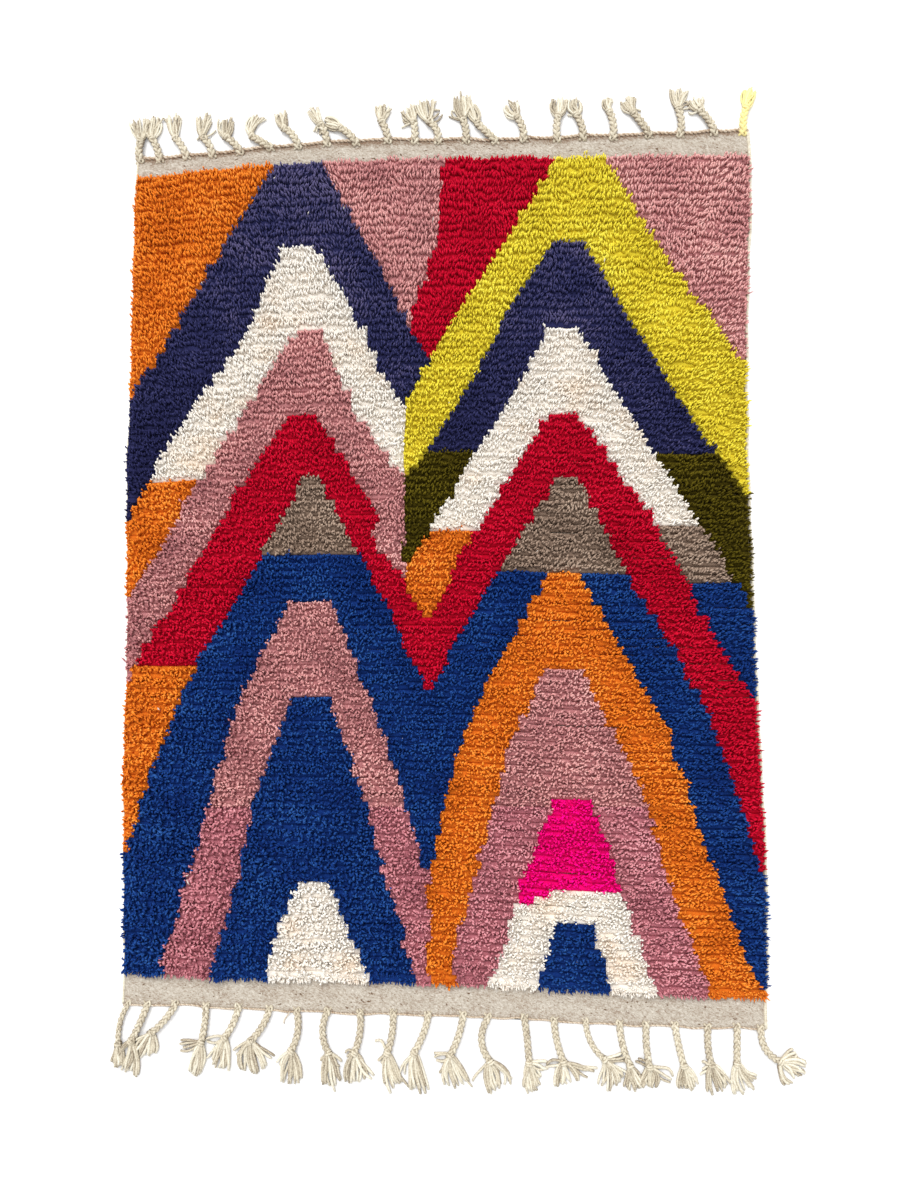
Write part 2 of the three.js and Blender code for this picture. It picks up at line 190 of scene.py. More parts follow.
COLOURS = ["orange", "navy", "blue", "white", "pink", "red", "yellow", "olive", "grey", "magenta"]
BASE_COLOUR = "blue"
SIDE = 56
PEAKS = [
    ([(70, -SIDE)], [(70, -22)], {"orange": 70}),
    ([(70, -22)], [(70, 2), (52, 1.5), (41, -3)], {"pink": 70}),
    ([(70, 0), (52, -0.5), (41, -5)], [(70, 24)], {"red": 70}),
    ([(70, 24)], [(70, SIDE)], {"pink": 70}),
    ([(67, -26), (53, -35), (38, -43.5), (28, -50), (20, -SIDE)],
     [(67, -20), (55, -13.5), (44, -8), (32, -2)], {"navy": 67}),
    ([(52, -25.5), (38, -31.5), (22, -42.5), (14, -47), (7.5, -50), (0, -SIDE)],
     [(52, -20.5), (38, -12.5), (31.5, -10), (25.5, -6), (14.5, -6), (14, -9)],
     {"white": 52, "orange": 14.5}),
    ([(38, -23.5), (26, -31), (13, -39.5), (0, -46.5), (-5.5, -50), (-12, -SIDE)],
     [(38, -19), (25, -14), (14, -6.5)], {"pink": 38}),
    ([(67, 19), (53, 10.5), (40, 2), (33.5, -2), (30.5, -3.5), (25.5, -6)],
     [(67, 26), (54, 33), (34, 47), (29, SIDE)], {"yellow": 67}),
    ([(52, 17.5), (38.5, 9), (30, 5), (23, 1), (18.5, -2.5), (14.5, -6)],
     [(52, 22.5), (38, 31), (22, 41), (11, 49), (4, SIDE)], {"navy": 52, "olive": 18}),
    ([(38, 17), (29.5, 12.5), (15, 3.5), (6, -2), (3, -3.5), (-0.5, -6), (-10, -7)],
     [(38, 22), (22, 31.5), (6, 41.5), (-6, 49), (-12, SIDE)],
     {"white": 38, "orange": 5.5}, {"white": 38, "grey": 6.5, "blue": -1.5}),
    ([(24.5, -24.5), (12.5, -32.5), (0, -39), (-15, -48.5), (-22, -50.5), (-30, -SIDE)],
     [(24.5, -20), (8, -10), (5.5, -11), (3, -10), (-1.5, -6.5), (-4, -5.5), (-6.5, -3.5),
      (-9.5, -2)], {"red": 24.5, "orange": -15.5}, {"red": 24.5}),
    ([(24.5, 17), (6, 5.5), (1, 2.5), (-4, 0.5), (-9.5, -2)],
     [(24.5, 21.5), (9, 33), (-8, 41.5), (-21, 50), (-28, SIDE)], {"red": 24.5}),
    ([(14, -22.5), (0, -29.5), (-15, -38.5), (-31, -45), (-46, -49), (-52, -SIDE)],
     [(14, -19.5), (0, -12), (-20, -2)], {"grey": 14, "blue": 2}),
    ([(14, 18), (-2, 8), (-14, 1), (-20, -2)],
     [(14, 21.5), (-1, 29.5), (-20, 41), (-35, 46.5), (-46, 49.5), (-52, SIDE)],
     {"grey": 14, "blue": -1}),
    ([(-5.5, -24), (-21, -32), (-44, -38), (-66, -44)],
     [(-5.5, -17.5), (-25, -9.5), (-49, -2)], {"pink": -5.5}),
    ([(-20.5, -23.5), (-36, -29), (-53, -32.5), (-66, -36.5)],
     [(-20.5, -18), (-34, -13), (-66, -3.5)], {"blue": -20.5}),
    ([(-49, -22), (-59, -26.5), (-66, -27)], [(-49, -17.5), (-66, -10.5)], {"white": -49}),
    ([(-1, 16.5), (-21, 5.5), (-34, 1), (-48, -2)],
     [(-1, 22), (-25, 35.5), (-42, 41), (-60, 47.5), (-66, 52)], {"orange": -1}),
    ([(-15, 16.5), (-29, 10), (-49, 5), (-58, 2)],
     [(-15, 21.5), (-33, 31), (-50, 36), (-66, 42)], {"pink": -15}),
    ([(-36, 17.5), (-47, 13), (-52.5, 11.5), (-53, 16)], [(-36, 23.5), (-50, 28), (-50.5, 22)],
     {"magenta": -36}),
    ([(-49, 17.5), (-50.5, 16.5), (-51, 15), (-52.5, 11.5), (-66, 7)],
     [(-49, 27.5), (-50, 28), (-66, 34)], {"white": -49}),
    ([(-54, 18), (-66, 14)], [(-54, 23), (-66, 27)], {"blue": -54}),
]
# How far a weaver's edge strays from the chart at each row, in centimetres.
EDGE_WOBBLE = 0.3
# The straight lines where the two columns meet, from which no edge strays.
VALLEYS = (-2, -6)
VALLEY_HALF = 0.6


def edge_at(edge, height):
    """Where a peak's edge lies in a row, a little off the chart as a weaver's is."""
    heights, places = np.array(edge[::-1], float).T
    place = np.interp(height, heights, places)
    stray = uniform(-EDGE_WOBBLE, EDGE_WOBBLE)
    for valley in VALLEYS:
        if abs(place - valley) < VALLEY_HALF:
            return valley
    return place + stray


def leg_colour(colours, height):
    """The number of the last of a leg's colours that starts above a height."""
    return COLOURS.index([colour for colour, start in colours.items() if start > height][-1])


def chart_row(height, x):
    """The colour numbers of a row's knots at x, in centimetres."""
    found = np.full(x.shape, COLOURS.index(BASE_COLOUR))
    for left, right, *legs in PEAKS:
        if height > left[0][0]:
            continue
        inside = x >= edge_at(left, height)
        inside &= x < edge_at(right, height)
        middle = (left[0][1] + right[0][1]) / 2
        left_leg, right_leg = leg_colour(legs[0], height), leg_colour(legs[-1], height)
        found = np.where(inside, np.where(x < middle, left_leg, right_leg), found)
    return found


def knot_chart():
    across = (np.arange(KNOTS) + 0.5) / KNOTS
    rows = []
    for along in (np.arange(PILE_ROWS) + 0.5) / PILE_ROWS:
        height = lerp(PILE_MIDDLE["bottom"], PILE_MIDDLE["top"], along) / 10
        rows.append(chart_row(height, pile_point(across, along)[0] / 10))
    return np.array(rows)


# Meshes from arrays

MAP_SLIDE = 0.35
MAP_MARGIN = 1.01
TINY = 1e-9
PLIES = 2
NOISE_WAVES = 14
NOISE_PITCHES = (0.7, 1.8)


def to_frame(points):
    return (np.asarray(points, float) + DRAWING_ORIGIN) * MILLIMETRE


def map_from_above(points):
    """A bake map of what lies on the rug, seen from above and slid a little by its height."""
    slid = points[:, :2] + MAP_SLIDE * points[:, 2:3]
    low = slid.min(0)
    return (slid - low) / ((slid.max(0) - low).max() * MAP_MARGIN)


def mesh_object(name, points, faces, attributes):
    """A smooth mesh from points in millimetres, with float attributes on its points."""
    mesh = bpy.data.meshes.new(name)
    faces = np.asarray(faces, np.int32)
    corners = faces.ravel()
    mesh.vertices.add(len(points))
    mesh.vertices.foreach_set("co", to_frame(points).astype(np.float32).ravel())
    mesh.loops.add(len(corners))
    mesh.loops.foreach_set("vertex_index", corners)
    mesh.polygons.add(len(faces))
    mesh.polygons.foreach_set("loop_start", np.arange(0, len(corners), 3, dtype=np.int32))
    mesh.update(calc_edges=True)
    mesh.shade_smooth()
    for attribute, values in attributes.items():
        made = mesh.attributes.new(attribute, "FLOAT", "POINT")
        made.data.foreach_set("value", np.asarray(values, np.float32))
    layer = mesh.uv_layers.new(name="OFBake")
    layer.data.foreach_set("uv", map_from_above(points)[corners].astype(np.float32).ravel())
    return add_object(name, mesh)


class Gatherer:
    """Collects closed bodies with a tone and a reach for each point, to become one object. A reach
    below 1 paints shade on that point.
    """

    def __init__(self):
        self.bodies = []
        self.total = 0

    def add(self, points, faces, tone, reach=1.0):
        looks = [np.broadcast_to(look, len(points)) for look in (tone, reach)]
        self.bodies.append((points, np.asarray(faces) + self.total, *looks))
        self.total += len(points)

    def to_object(self, name, **looks):
        """The bodies as one object, with any other looks that hold for the whole of it."""
        points, faces, tone, reach = (np.concatenate(arrays) for arrays in zip(*self.bodies))
        looks = {look: np.full(self.total, value) for look, value in looks.items()}
        return mesh_object(name, points, faces, {"tone": tone, "reach": reach, **looks})


def unit(vectors):
    return vectors / np.maximum(np.linalg.norm(vectors, axis=-1, keepdims=True), TINY)


def aside(vectors):
    """Flat directions turned a quarter to their right."""
    vectors = np.asarray(vectors)
    return np.stack([vectors[..., 1], -vectors[..., 0], 0 * vectors[..., 0]], -1)


def lengths_along(path):
    steps = np.linalg.norm(np.diff(path, axis=0), axis=1)
    return np.concatenate([[0], np.cumsum(steps)])


def loft_faces(rings, sides):
    """Triangles round a closed body of rings, each counterclockwise from its far end."""
    near = np.arange(sides)
    beside = (near + 1) % sides
    strips = []
    for here in np.arange(rings - 1) * sides:
        strips.append(np.stack([here + near, here + beside, here + sides + beside], 1))
        strips.append(np.stack([here + near, here + sides + beside, here + sides + near], 1))
    fan = np.stack([0 * near, near + 1, near], 1)[1:-1]
    return np.concatenate([*strips, fan, fan[:, [0, 2, 1]] + (rings - 1) * sides])


def tube(path, radii, sides, ply_depth=0.0, turn=0.0):
    """A closed tube along a path, its ridges turning with it as a spun yarn's plies do."""
    ahead = unit(np.gradient(path, axis=0))
    first = unit(np.cross(ahead, [0.0, 0.0, 1.0]))
    second = np.cross(first, ahead)
    angles = np.arange(sides) * 2 * np.pi / sides
    ridge = 1 + ply_depth * np.cos(PLIES * (angles - turn * lengths_along(path)[:, None]))
    reach = np.broadcast_to(radii, len(path))[:, None] * ridge
    rings = path[:, None] + (reach * np.cos(angles))[..., None] * second[:, None]
    rings += (reach * np.sin(angles))[..., None] * first[:, None]
    return rings.reshape(-1, 3), loft_faces(len(path), sides)


def add_spun(mesh, path, radii, sides, tone, spin=(0.0, 0.0)):
    """A tube with painted shade on its underside, with a tone for all of it or for each ring."""
    points, faces = tube(path, radii, sides, *spin)
    tones = np.repeat(np.broadcast_to(tone, len(path)), sides)
    painted_lit = 0.5 + 0.5 * np.cos(np.arange(sides) * 2 * np.pi / sides)
    mesh.add(points, faces, tones, np.tile(painted_lit, len(path)))


def smooth_noise(x, y, strength, length, seed):
    """Soft noise, mostly from -strength to strength, with features of about that length."""
    own = np.random.default_rng(seed)
    total = np.zeros(np.shape(x))
    for _ in range(NOISE_WAVES):
        heading = own.uniform(0, 2 * np.pi)
        pitch = length * own.uniform(*NOISE_PITCHES)
        phase = own.uniform(0, 2 * np.pi)
        total += np.sin(2 * np.pi * (x * np.cos(heading) + y * np.sin(heading)) / pitch + phase)
    return strength * (total / math.sqrt(NOISE_WAVES))


# Wool materials

WOOL_SURFACE = {"Roughness": 0.95, "Specular IOR Level": 0.12, "Sheen Roughness": 0.6}
EVEN = (1.0, 1.0, 1.0)
# The fine fibres, as (noise scale, noise detail, bump strength, bump depth in metres, sheen).
PILE_FIBRES = (1500.0, 1.0, 0.5, 0.0006, 0.15)
PLAIN_FIBRES = (1300.0, 2.0, 0.6, 0.0008, 0.1)


def srgb(red, green, blue):
    """A colour measured in the picture, from 0 to 255, as Blender's linear colour."""
    values = np.array([red, green, blue]) / 255
    linear = np.where(values <= 0.04045, values / 12.92, ((values + 0.055) / 1.055) ** 2.4)
    return (*linear.tolist(), 1.0)


class Wool:
    """A material's node tree, with short ways to add and join nodes."""

    def __init__(self, name):
        self.material = bpy.data.materials.new(name)
        self.material.use_nodes = True
        self.tree = self.material.node_tree
        self.shader = self.tree.nodes["Principled BSDF"]

    def feed(self, node, inputs):
        for socket, value in inputs.items():
            if isinstance(value, bpy.types.NodeSocket):
                self.tree.links.new(value, node.inputs[socket])
            else:
                node.inputs[socket].default_value = value

    def node(self, kind, inputs, **settings):
        made = self.tree.nodes.new("ShaderNode" + kind)
        for field, value in settings.items():
            setattr(made, field, value)
        self.feed(made, inputs)
        return made

    def place(self):
        return self.node("TexCoord", {}).outputs["Object"]

    def attribute(self, name):
        return self.node("Attribute", {}, attribute_name=name).outputs["Fac"]

    def math(self, operation, first, second):
        return self.node("Math", {0: first, 1: second}, operation=operation).outputs[0]

    def noise(self, scale, stretch=EVEN, detail=2.0):
        spread = self.node("Mapping", {"Vector": self.place(), "Scale": stretch})
        inputs = {"Vector": spread.outputs["Vector"], "Scale": scale, "Detail": detail}
        return self.node("TexNoise", inputs).outputs["Fac"]

    def ramp(self, share, stops):
        made = self.node("ValToRGB", {"Fac": share})
        elements = made.color_ramp.elements
        while len(elements) < len(stops):
            elements.new(0.5)
        for element, (place, colour) in zip(elements, stops):
            element.position = place
            element.color = colour
        return made.outputs["Color"]

    def mixed(self, share, first, second, blend="MIX"):
        inputs = {0: share, 6: first, 7: second}
        return self.node("Mix", inputs, data_type="RGBA", blend_type=blend).outputs[2]

    def shaded(self, shades, noise, contrast, depth):
        """A yarn from its dark to its light, by its tone and its noise, with painted shade where its
        reach is low.
        """
        spread = self.math("MULTIPLY", self.math("SUBTRACT", noise, 0.5), contrast)
        painted_shade = self.math("MULTIPLY", self.math("SUBTRACT", self.attribute("reach"), 1.0), depth)
        share = self.math("ADD", self.math("ADD", self.attribute("tone"), spread), painted_shade)
        return self.ramp(share, list(zip((0.0, 0.5, 1.0), shades)))

    def finished(self, colour, fibres, sheen_colour):
        """The material with that colour, its fibres' bump and its sheen."""
        scale, detail, strength, depth, sheen = fibres
        inputs = {"Height": self.noise(scale, detail=detail), "Strength": strength, "Distance": depth}
        normal = self.node("Bump", inputs).outputs["Normal"]
        own = {"Sheen Weight": sheen, "Sheen Tint": sheen_colour, **WOOL_SURFACE}
        self.feed(self.shader, {"Base Color": colour, "Normal": normal, **own})
        return self.material


# Pile yarns as the picture shows them: in their shade, on the yarn, and at their lit tips.
PILE_COLOURS = {
    "orange": [(184, 82, 14), (238, 132, 38), (249, 172, 74)],
    "navy": [(27, 28, 66), (50, 52, 94), (102, 95, 132)],
    "blue": [(6, 27, 88), (21, 60, 128), (50, 97, 163)],
    "white": [(242, 233, 221), (243, 237, 228), (248, 245, 239)],
    "pink": [(142, 79, 86), (214, 151, 149), (243, 193, 186)],
    "red": [(156, 0, 26), (199, 4, 44), (220, 26, 60)],
    "yellow": [(198, 174, 34), (236, 218, 62), (246, 241, 98)],
    "olive": [(43, 34, 0), (82, 72, 8), (116, 102, 24)],
    "grey": [(98, 78, 65), (160, 137, 120), (194, 172, 153)],
    "magenta": [(200, 0, 88), (252, 0, 131), (255, 0, 158)],
}
FLECK_COLOUR = srgb(222, 216, 208)
FLECK_TONE = 2.0
# The pink was dyed twice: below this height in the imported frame, its yarn is rosier.
SECOND_PINK = -0.355
SECOND_PINK_TINT = (0.96, 0.8, 0.94, 1.0)
# The white wool has yellowed in soft patches, by a noise of this scale and stretch.
YELLOWED = (11.0, (1.0, 1.6, 1.0))
YELLOWED_STOPS = [(0.52, BLACK), (0.68, WHITE)]
YELLOWED_TINT = (1.0, 0.93, 0.86, 1.0)
PILE_GRAIN = 900.0
PILE_CONTRAST = 0.6
# How much painted shade a yarn gets where its reach is low: where it sinks into the pile or turns
# under.
PILE_PAINTED_SHADE = 0.3


def pile_material(colour):
    wool = Wool(f"pile_{colour}")
    shades = [srgb(*shade) for shade in PILE_COLOURS[colour]]
    dyed = wool.shaded(shades, wool.noise(PILE_GRAIN), PILE_CONTRAST, PILE_PAINTED_SHADE)
    if colour == "pink":
        height = wool.node("SeparateXYZ", {"Vector": wool.place()}).outputs["Y"]
        second = wool.math("LESS_THAN", height, SECOND_PINK)
        dyed = wool.mixed(second, dyed, SECOND_PINK_TINT, "MULTIPLY")
    if colour == "white":
        patches = wool.ramp(wool.noise(*YELLOWED), YELLOWED_STOPS)
        dyed = wool.mixed(patches, dyed, YELLOWED_TINT, "MULTIPLY")
    fleck = wool.math("GREATER_THAN", wool.attribute("tone"), (FLECK_TONE + 1) / 2)
    return wool.finished(wool.mixed(fleck, dyed, FLECK_COLOUR), PILE_FIBRES, shades[1])


# Undyed wools: (shades, their noise's scale, stretch and contrast, where dark hairs end).
PLAIN_WOOLS = {
    "ground_wool": ([(128, 105, 86), (179, 169, 155), (213, 207, 196)], 900.0, (0.6, 1, 1), 1.3, 0.71),
    "cord_wool": ([(124, 98, 76), (188, 166, 142), (228, 218, 200)], 600.0, EVEN, 1.4, 0.74),
    "fringe_wool": ([(120, 102, 82), (206, 196, 174), (240, 236, 220)], 500.0, EVEN, 1.0, 0.82),
}
# How much painted shade an undyed yarn gets where its reach is low.
PLAIN_PAINTED_SHADE = 0.7
# Dark hairs in the undyed wool, as their noise's scale, stretch and detail.
HAIRS = (240.0, (0.6, 1.0, 1.0), 1.0)
HAIR_SOFTNESS = 0.03
HAIR_COLOUR = srgb(100, 76, 56)
FRINGE_YELLOW = srgb(253, 238, 158)


def plain_material(name):
    wool = Wool(name)
    shades, scale, stretch, contrast, least = PLAIN_WOOLS[name]
    shades = [srgb(*shade) for shade in shades]
    undyed = wool.shaded(shades, wool.noise(scale, stretch), contrast, PLAIN_PAINTED_SHADE)
    # A pale yellow tint, as much as a piece's tint share asks for.
    stained = wool.mixed(wool.attribute("stain"), undyed, FRINGE_YELLOW)
    hairs = wool.ramp(wool.noise(*HAIRS), [(least, BLACK), (least + HAIR_SOFTNESS, WHITE)])
    return wool.finished(wool.mixed(hairs, stained, HAIR_COLOUR), PLAIN_FIBRES, shades[2])


materials = {f"pile_{colour}": pile_material(colour) for colour in COLOURS}
materials.update({name: plain_material(name) for name in PLAIN_WOOLS})


def finish_piece(made, slot, *nodes):
    """The piece gets its slot's material, rides on the rug's body and stands for those nodes."""
    made.data.materials.append(materials[slot])
    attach(made, "root")
    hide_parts(*nodes)


# The pile's feet: each row of knots is a row of low bars, one for every run of a colour

BAR_STEP = 12
BAR_SECTION = [
    (-6.3, PILE_FOOT), (-6.2, 7.2), (-3.2, 8.8), (3.2, 8.8), (6.2, 7.2), (6.3, PILE_FOOT),
]
# Painted shade on the bars, which show only in the gaps between rows: a lower tone than the ends',
# darker still towards their feet.
BAR_PAINTED_LIGHT = [0.0, 0.1, 0.25, 0.25, 0.1, 0.0]
BAR_SHADED_TONE = 0.45
BAR_UNEVENNESS = 0.7
# The pile's broad swells, as (length across, length along, height) in millimetres.
PILE_SWELLS = [(330, 410, 0.9), (210, 170, 0.7), (120, 290, 0.5)]


def swell_at(x, y):
    total = 0.0
    for across, along, height in PILE_SWELLS:
        wave = np.sin(2 * np.pi * x / across + along)
        total = total + height * wave * np.cos(2 * np.pi * y / along + across)
    return total


def runs_of(row_colours):
    """The runs of one colour in a row, as (first knot, knot after the last, colour number)."""
    starts = [0, *(np.flatnonzero(np.diff(row_colours)) + 1), len(row_colours)]
    return [(first, after, row_colours[first]) for first, after in zip(starts, starts[1:])]


def foot_bar(row, first, after):
    steps = max(round((after - first) / BAR_STEP), 1) + 1
    across = np.linspace(first, after, steps) / KNOTS
    x, y = pile_point(across, (row + 0.5) / PILE_ROWS)
    side, height = np.array(BAR_SECTION).T
    rise = swell_at(x, y) + uniform(-BAR_UNEVENNESS, BAR_UNEVENNESS, steps)
    lift = (height - PILE_FOOT) / (height[2] - PILE_FOOT)
    z = height + rise[:, None] * lift
    rings = np.stack(np.broadcast_arrays(x[:, None], y[:, None] - side, z), -1)
    return rings.reshape(-1, 3), loft_faces(steps, len(side))


# The pile itself: every knot's yarn ends stand up and lean the way the pile is combed there

ENDS_PER_ROW = 668
END_JITTER = 0.35
END_RADIUS = 1.26
END_RADII = (0.8, 1.2)
CURLY_THICKNESS = 0.56
END_ROOT = 7.4
PILE_TIP = 15.6
END_SHARES = [0.0, 0.6, 1.0]
# How high an end's points are, for one that stands and one that lies over.
STANDING = [0.0, 0.72, 1.0]
LYING = [0.0, 0.96, 0.92]
LYING_RATE = 1.3
FARTHEST_LEAN = 1.2
END_REACH = 11.0
REACH_POWER = 1.15
END_CURL = 1.1
CURL_WAVE = 0.8
# An end's radius at its root and at its widest. From there it rounds off to its tip.
END_WIDTHS = [0.9, 1.15]
END_SIDES = 3
# Painted shade on an end's underside, as a share of its light.
UNDERSIDE_SHADE = 0.4
# How wide a row's ends spread, where they lean along it and where they lean over the next.
ROW_SPREAD = 3.1
STEPPED_SPREAD = 2.4
SMALL_LEAN = 0.1
# What is left of an end's lean where it would lie over another colour.
KEPT_BACK = 0.6
# How the pile leans at places on the rug: (x, y, lean to +X, lean to +Y, how curly it is), with
# places in centimetres.
LEANS = [
    (-46, 60, -0.25, 0.6, 0.25), (-36, 50, -0.12, 0.8, 0.08), (-22, 60, 0, 0.9, 0.05),
    (-8, 58, 0, 0.9, 0.05), (8, 58, 0.1, 0.85, 0.04), (24, 60, 0.1, 0.85, 0.06),
    (42, 56, 0.3, 0.7, 0.12), (-46, 24, -0.25, 0.55, 0.25), (-20, 26, 0.1, 0.65, 0.12),
    (0, 20, 0.15, 0.6, 0.12), (22, 24, 0.3, 0.6, 0.1), (46, 24, 0.5, 0.4, 0.12),
    (-46, -8, -0.2, 0.3, 0.5), (-24, -8, 0.1, 0.45, 0.42), (0, -10, 0.2, 0.4, 0.32),
    (20, -8, 0.4, 0.45, 0.25), (44, -12, 0.65, 0.25, 0.2), (-44, -46, -0.2, 0.1, 0.7),
    (-24, -44, 0.1, 0.25, 0.65), (0, -44, 0.15, 0.2, 0.55), (24, -44, 0.4, 0.35, 0.3),
    (46, -50, 0.6, 0.25, 0.25),
]
LEAN_RANGE = 140
LEAN_LENGTHS = (0.75, 1.15)
# Soft noises, as (strength, length in millimetres, seed). Headings are in radians.
ROW_STRAY = (1.7, 30, 43)
HEADING_DRIFT = (np.radians(16), 55, 41)
HEADING_TUFTS = (1, 13, 45)
RIM_CLUMPS = (0.45, 9, 47)
TONE_DRIFT = (0.09, 90, 51)
# Painted light and shade in soft streaks across the rows, for low folds in the pile.
FOLD_LIGHT_AND_SHADE = (0.06, 40, 53)
# Scatter, as (where the pile is combed, how much more where it curls). Headings are in degrees.
TUFT_HEADING = (6, 26)
END_HEADING = (6, 28)
LEAN_SCATTER = (0.05, 0.6)
TONE_SCATTER = (0.06, 0.12)
TIP_SCATTER = (0.4, 0.8)
PILE_TONE = 0.6
BAND_WIDENING = 0.3
# Where a colour is as dyed, and how much it lightens for each metre across and along the rug.
FADES = {"navy": (0, 340, 0.1, 1.25), "pink": (-80, 150, 0.24, 0.1)}
FLECK_SHARE = 0.0003
FLECK_THINNESS = 0.6
# The rim's ends lean out together, a row of knots at the sides and a clump at the ends.
RIM_SHARE = 0.012
RIM_RATE = 1.6
RIM_LEANS = {"left": 0.2, "right": 0.85, "bottom": 0.7, "top": 0.3}
CLUMP_MIDDLE = 0.55
RIM_ROOT = 5.0
RIM_DROP = 2.6
RIM_STIFFNESS = 0.7
# More ends root low on the pile's flank all round and hang out from it.
FLANK_ENDS = {"left": 640, "right": 640, "bottom": 620, "top": 560}
FLANK_INSET = 1.6
FLANK_ROOT = 3.6
FLANK_DROPS = (3.5, 9.0)
FLANK_LEANS = (0.5, 1.1)
FLANK_LEAN_SCATTER = 0.15
FLANK_STEP = (0.6, 0.4)
FLANK_TONE = (0.5, 0.12)
OUTWARD = {"left": (-1, 0), "right": (1, 0), "bottom": (0, -1), "top": (0, 1)}


def by_curl(scatter, curly):
    return scatter[0] + scatter[1] * curly


def lean_at(x, y):
    """The lean the pile is combed to at each place, and how curly it is there."""
    table = np.array(LEANS)
    gaps = (x[:, None] - 10 * table[:, 0]) ** 2 + (y[:, None] - 10 * table[:, 1]) ** 2
    weights = np.exp(-gaps / (2 * LEAN_RANGE ** 2)) + TINY
    found = weights @ table[:, 2:] / weights.sum(1, keepdims=True)
    return found[:, :2], found[:, 2]


def turned(vectors, angles):
    cosine, sine = np.cos(angles), np.sin(angles)
    x, y = vectors.T
    return np.stack([x * cosine - y * sine, x * sine + y * cosine], 1)


def scattered_lean(x, y, combed, curly):
    """Each end's lean: as combed, but strayed with its place, its tuft and by itself."""
    count = len(x)
    angles = smooth_noise(x, y, *HEADING_DRIFT)
    angles += np.radians(by_curl(TUFT_HEADING, curly)) * smooth_noise(x, y, *HEADING_TUFTS)
    angles += np.radians(by_curl(END_HEADING, curly)) * normal(0, 1, count)
    lean = turned(combed, angles) * uniform(*LEAN_LENGTHS, (count, 1))
    return lean + normal(0, 1, (count, 2)) * by_curl(LEAN_SCATTER, curly)[:, None]


def rim_nearness(across, along):
    """How near each place is to each edge of the pile, up to 1 at its rim."""
    gaps = {"left": across, "right": 1 - across, "bottom": along, "top": 1 - along}
    return {side: np.clip(RIM_RATE * (1 - gap / RIM_SHARE), 0, 1) for side, gap in gaps.items()}


def outward_lean(near, x):
    """How the rim's ends lean out over its edges."""
    tooth = np.repeat(uniform(0, 1, PILE_ROWS), ENDS_PER_ROW)
    clump = np.clip(CLUMP_MIDDLE + smooth_noise(x, 0 * x, *RIM_CLUMPS), 0, 1)
    out = {side: near[side] * lean for side, lean in RIM_LEANS.items()}
    across = (out["right"] - out["left"]) * tooth
    along = (out["top"] - out["bottom"]) * clump
    return np.stack([across, along], 1)


def colour_at(knots, x, y):
    """The colour number of the knot under each place, or of the nearest one at the rim."""
    left = side_x("left", y) + LEFT_SELVEDGE
    right = side_x("right", y) - RIGHT_SELVEDGE
    low, high = end_y("pile_bottom", x), end_y("pile_top", x)
    place = np.clip((x - left) / (right - left) * KNOTS, 0, KNOTS - 1)
    row = np.clip((y - low) / (high - low) * PILE_ROWS, 0, PILE_ROWS - 1)
    return knots[row.astype(int), place.astype(int)]


def pile_tones(x, y, colour, curly):
    """Each end's tone, from its own, its place's and its colour's fading, or a fleck's."""
    count = len(x)
    tone = PILE_TONE + by_curl(TONE_SCATTER, curly) * normal(0, 1, count)
    tone += smooth_noise(x, y, *TONE_DRIFT)
    # Painted light and shade in streaks across the rows, for low folds in the pile.
    tone += smooth_noise(BAND_WIDENING * x, y, *FOLD_LIGHT_AND_SHADE)
    for faded, (dyed_x, dyed_y, across, along) in FADES.items():
        lighter = across * (x - dyed_x) + along * (y - dyed_y)
        tone += np.where(colour == COLOURS.index(faded), lighter * MILLIMETRE, 0)
    flecked = uniform(0, 1, count) < FLECK_SHARE
    return np.where(flecked, FLECK_TONE, np.clip(tone, 0, 1))


def pile_ends(knots):
    """Every yarn end's place, lean and look, as a dict of arrays."""
    row = np.repeat(np.arange(PILE_ROWS), ENDS_PER_ROW)
    place = np.tile(np.arange(ENDS_PER_ROW), PILE_ROWS)
    count = len(row)
    across = (place + 0.5 + uniform(-END_JITTER, END_JITTER, count)) / ENDS_PER_ROW
    along = (row + 0.5) / PILE_ROWS
    x, y = pile_point(across, along)
    colour = knots[row, (across * KNOTS).astype(int)]
    combed, curly = lean_at(x, y)
    sideways, ahead = np.abs(combed).T
    spread = lerp(ROW_SPREAD, STEPPED_SPREAD, ahead / (sideways + ahead + SMALL_LEAN))
    y = y + normal(0, 1, count) * spread + smooth_noise(x, y, *ROW_STRAY)
    lean = scattered_lean(x, y, combed, curly)
    astray = colour_at(knots, x + END_REACH * lean[:, 0], y + END_REACH * lean[:, 1]) != colour
    lean *= np.where(astray, KEPT_BACK, 1)[:, None]
    near = rim_nearness(across, along)
    rim = np.maximum.reduce(list(near.values()))
    share = uniform(0, 1, (count, 1))
    outward = outward_lean(near, x) * share
    lean = lean * (1 - RIM_STIFFNESS * rim[:, None] * share) + outward
    x, y = x + RIM_ROOT * outward[:, 0], y + RIM_ROOT * outward[:, 1]
    return {"x": x, "y": y, "lean": lean, "colour": colour,
            "tone": pile_tones(x, y, colour, curly),
            "root": np.full(count, END_ROOT),
            "drop": RIM_DROP * rim + by_curl(TIP_SCATTER, curly) * normal(0, 1, count),
            "radius": END_RADIUS * (1 + CURLY_THICKNESS * curly)}


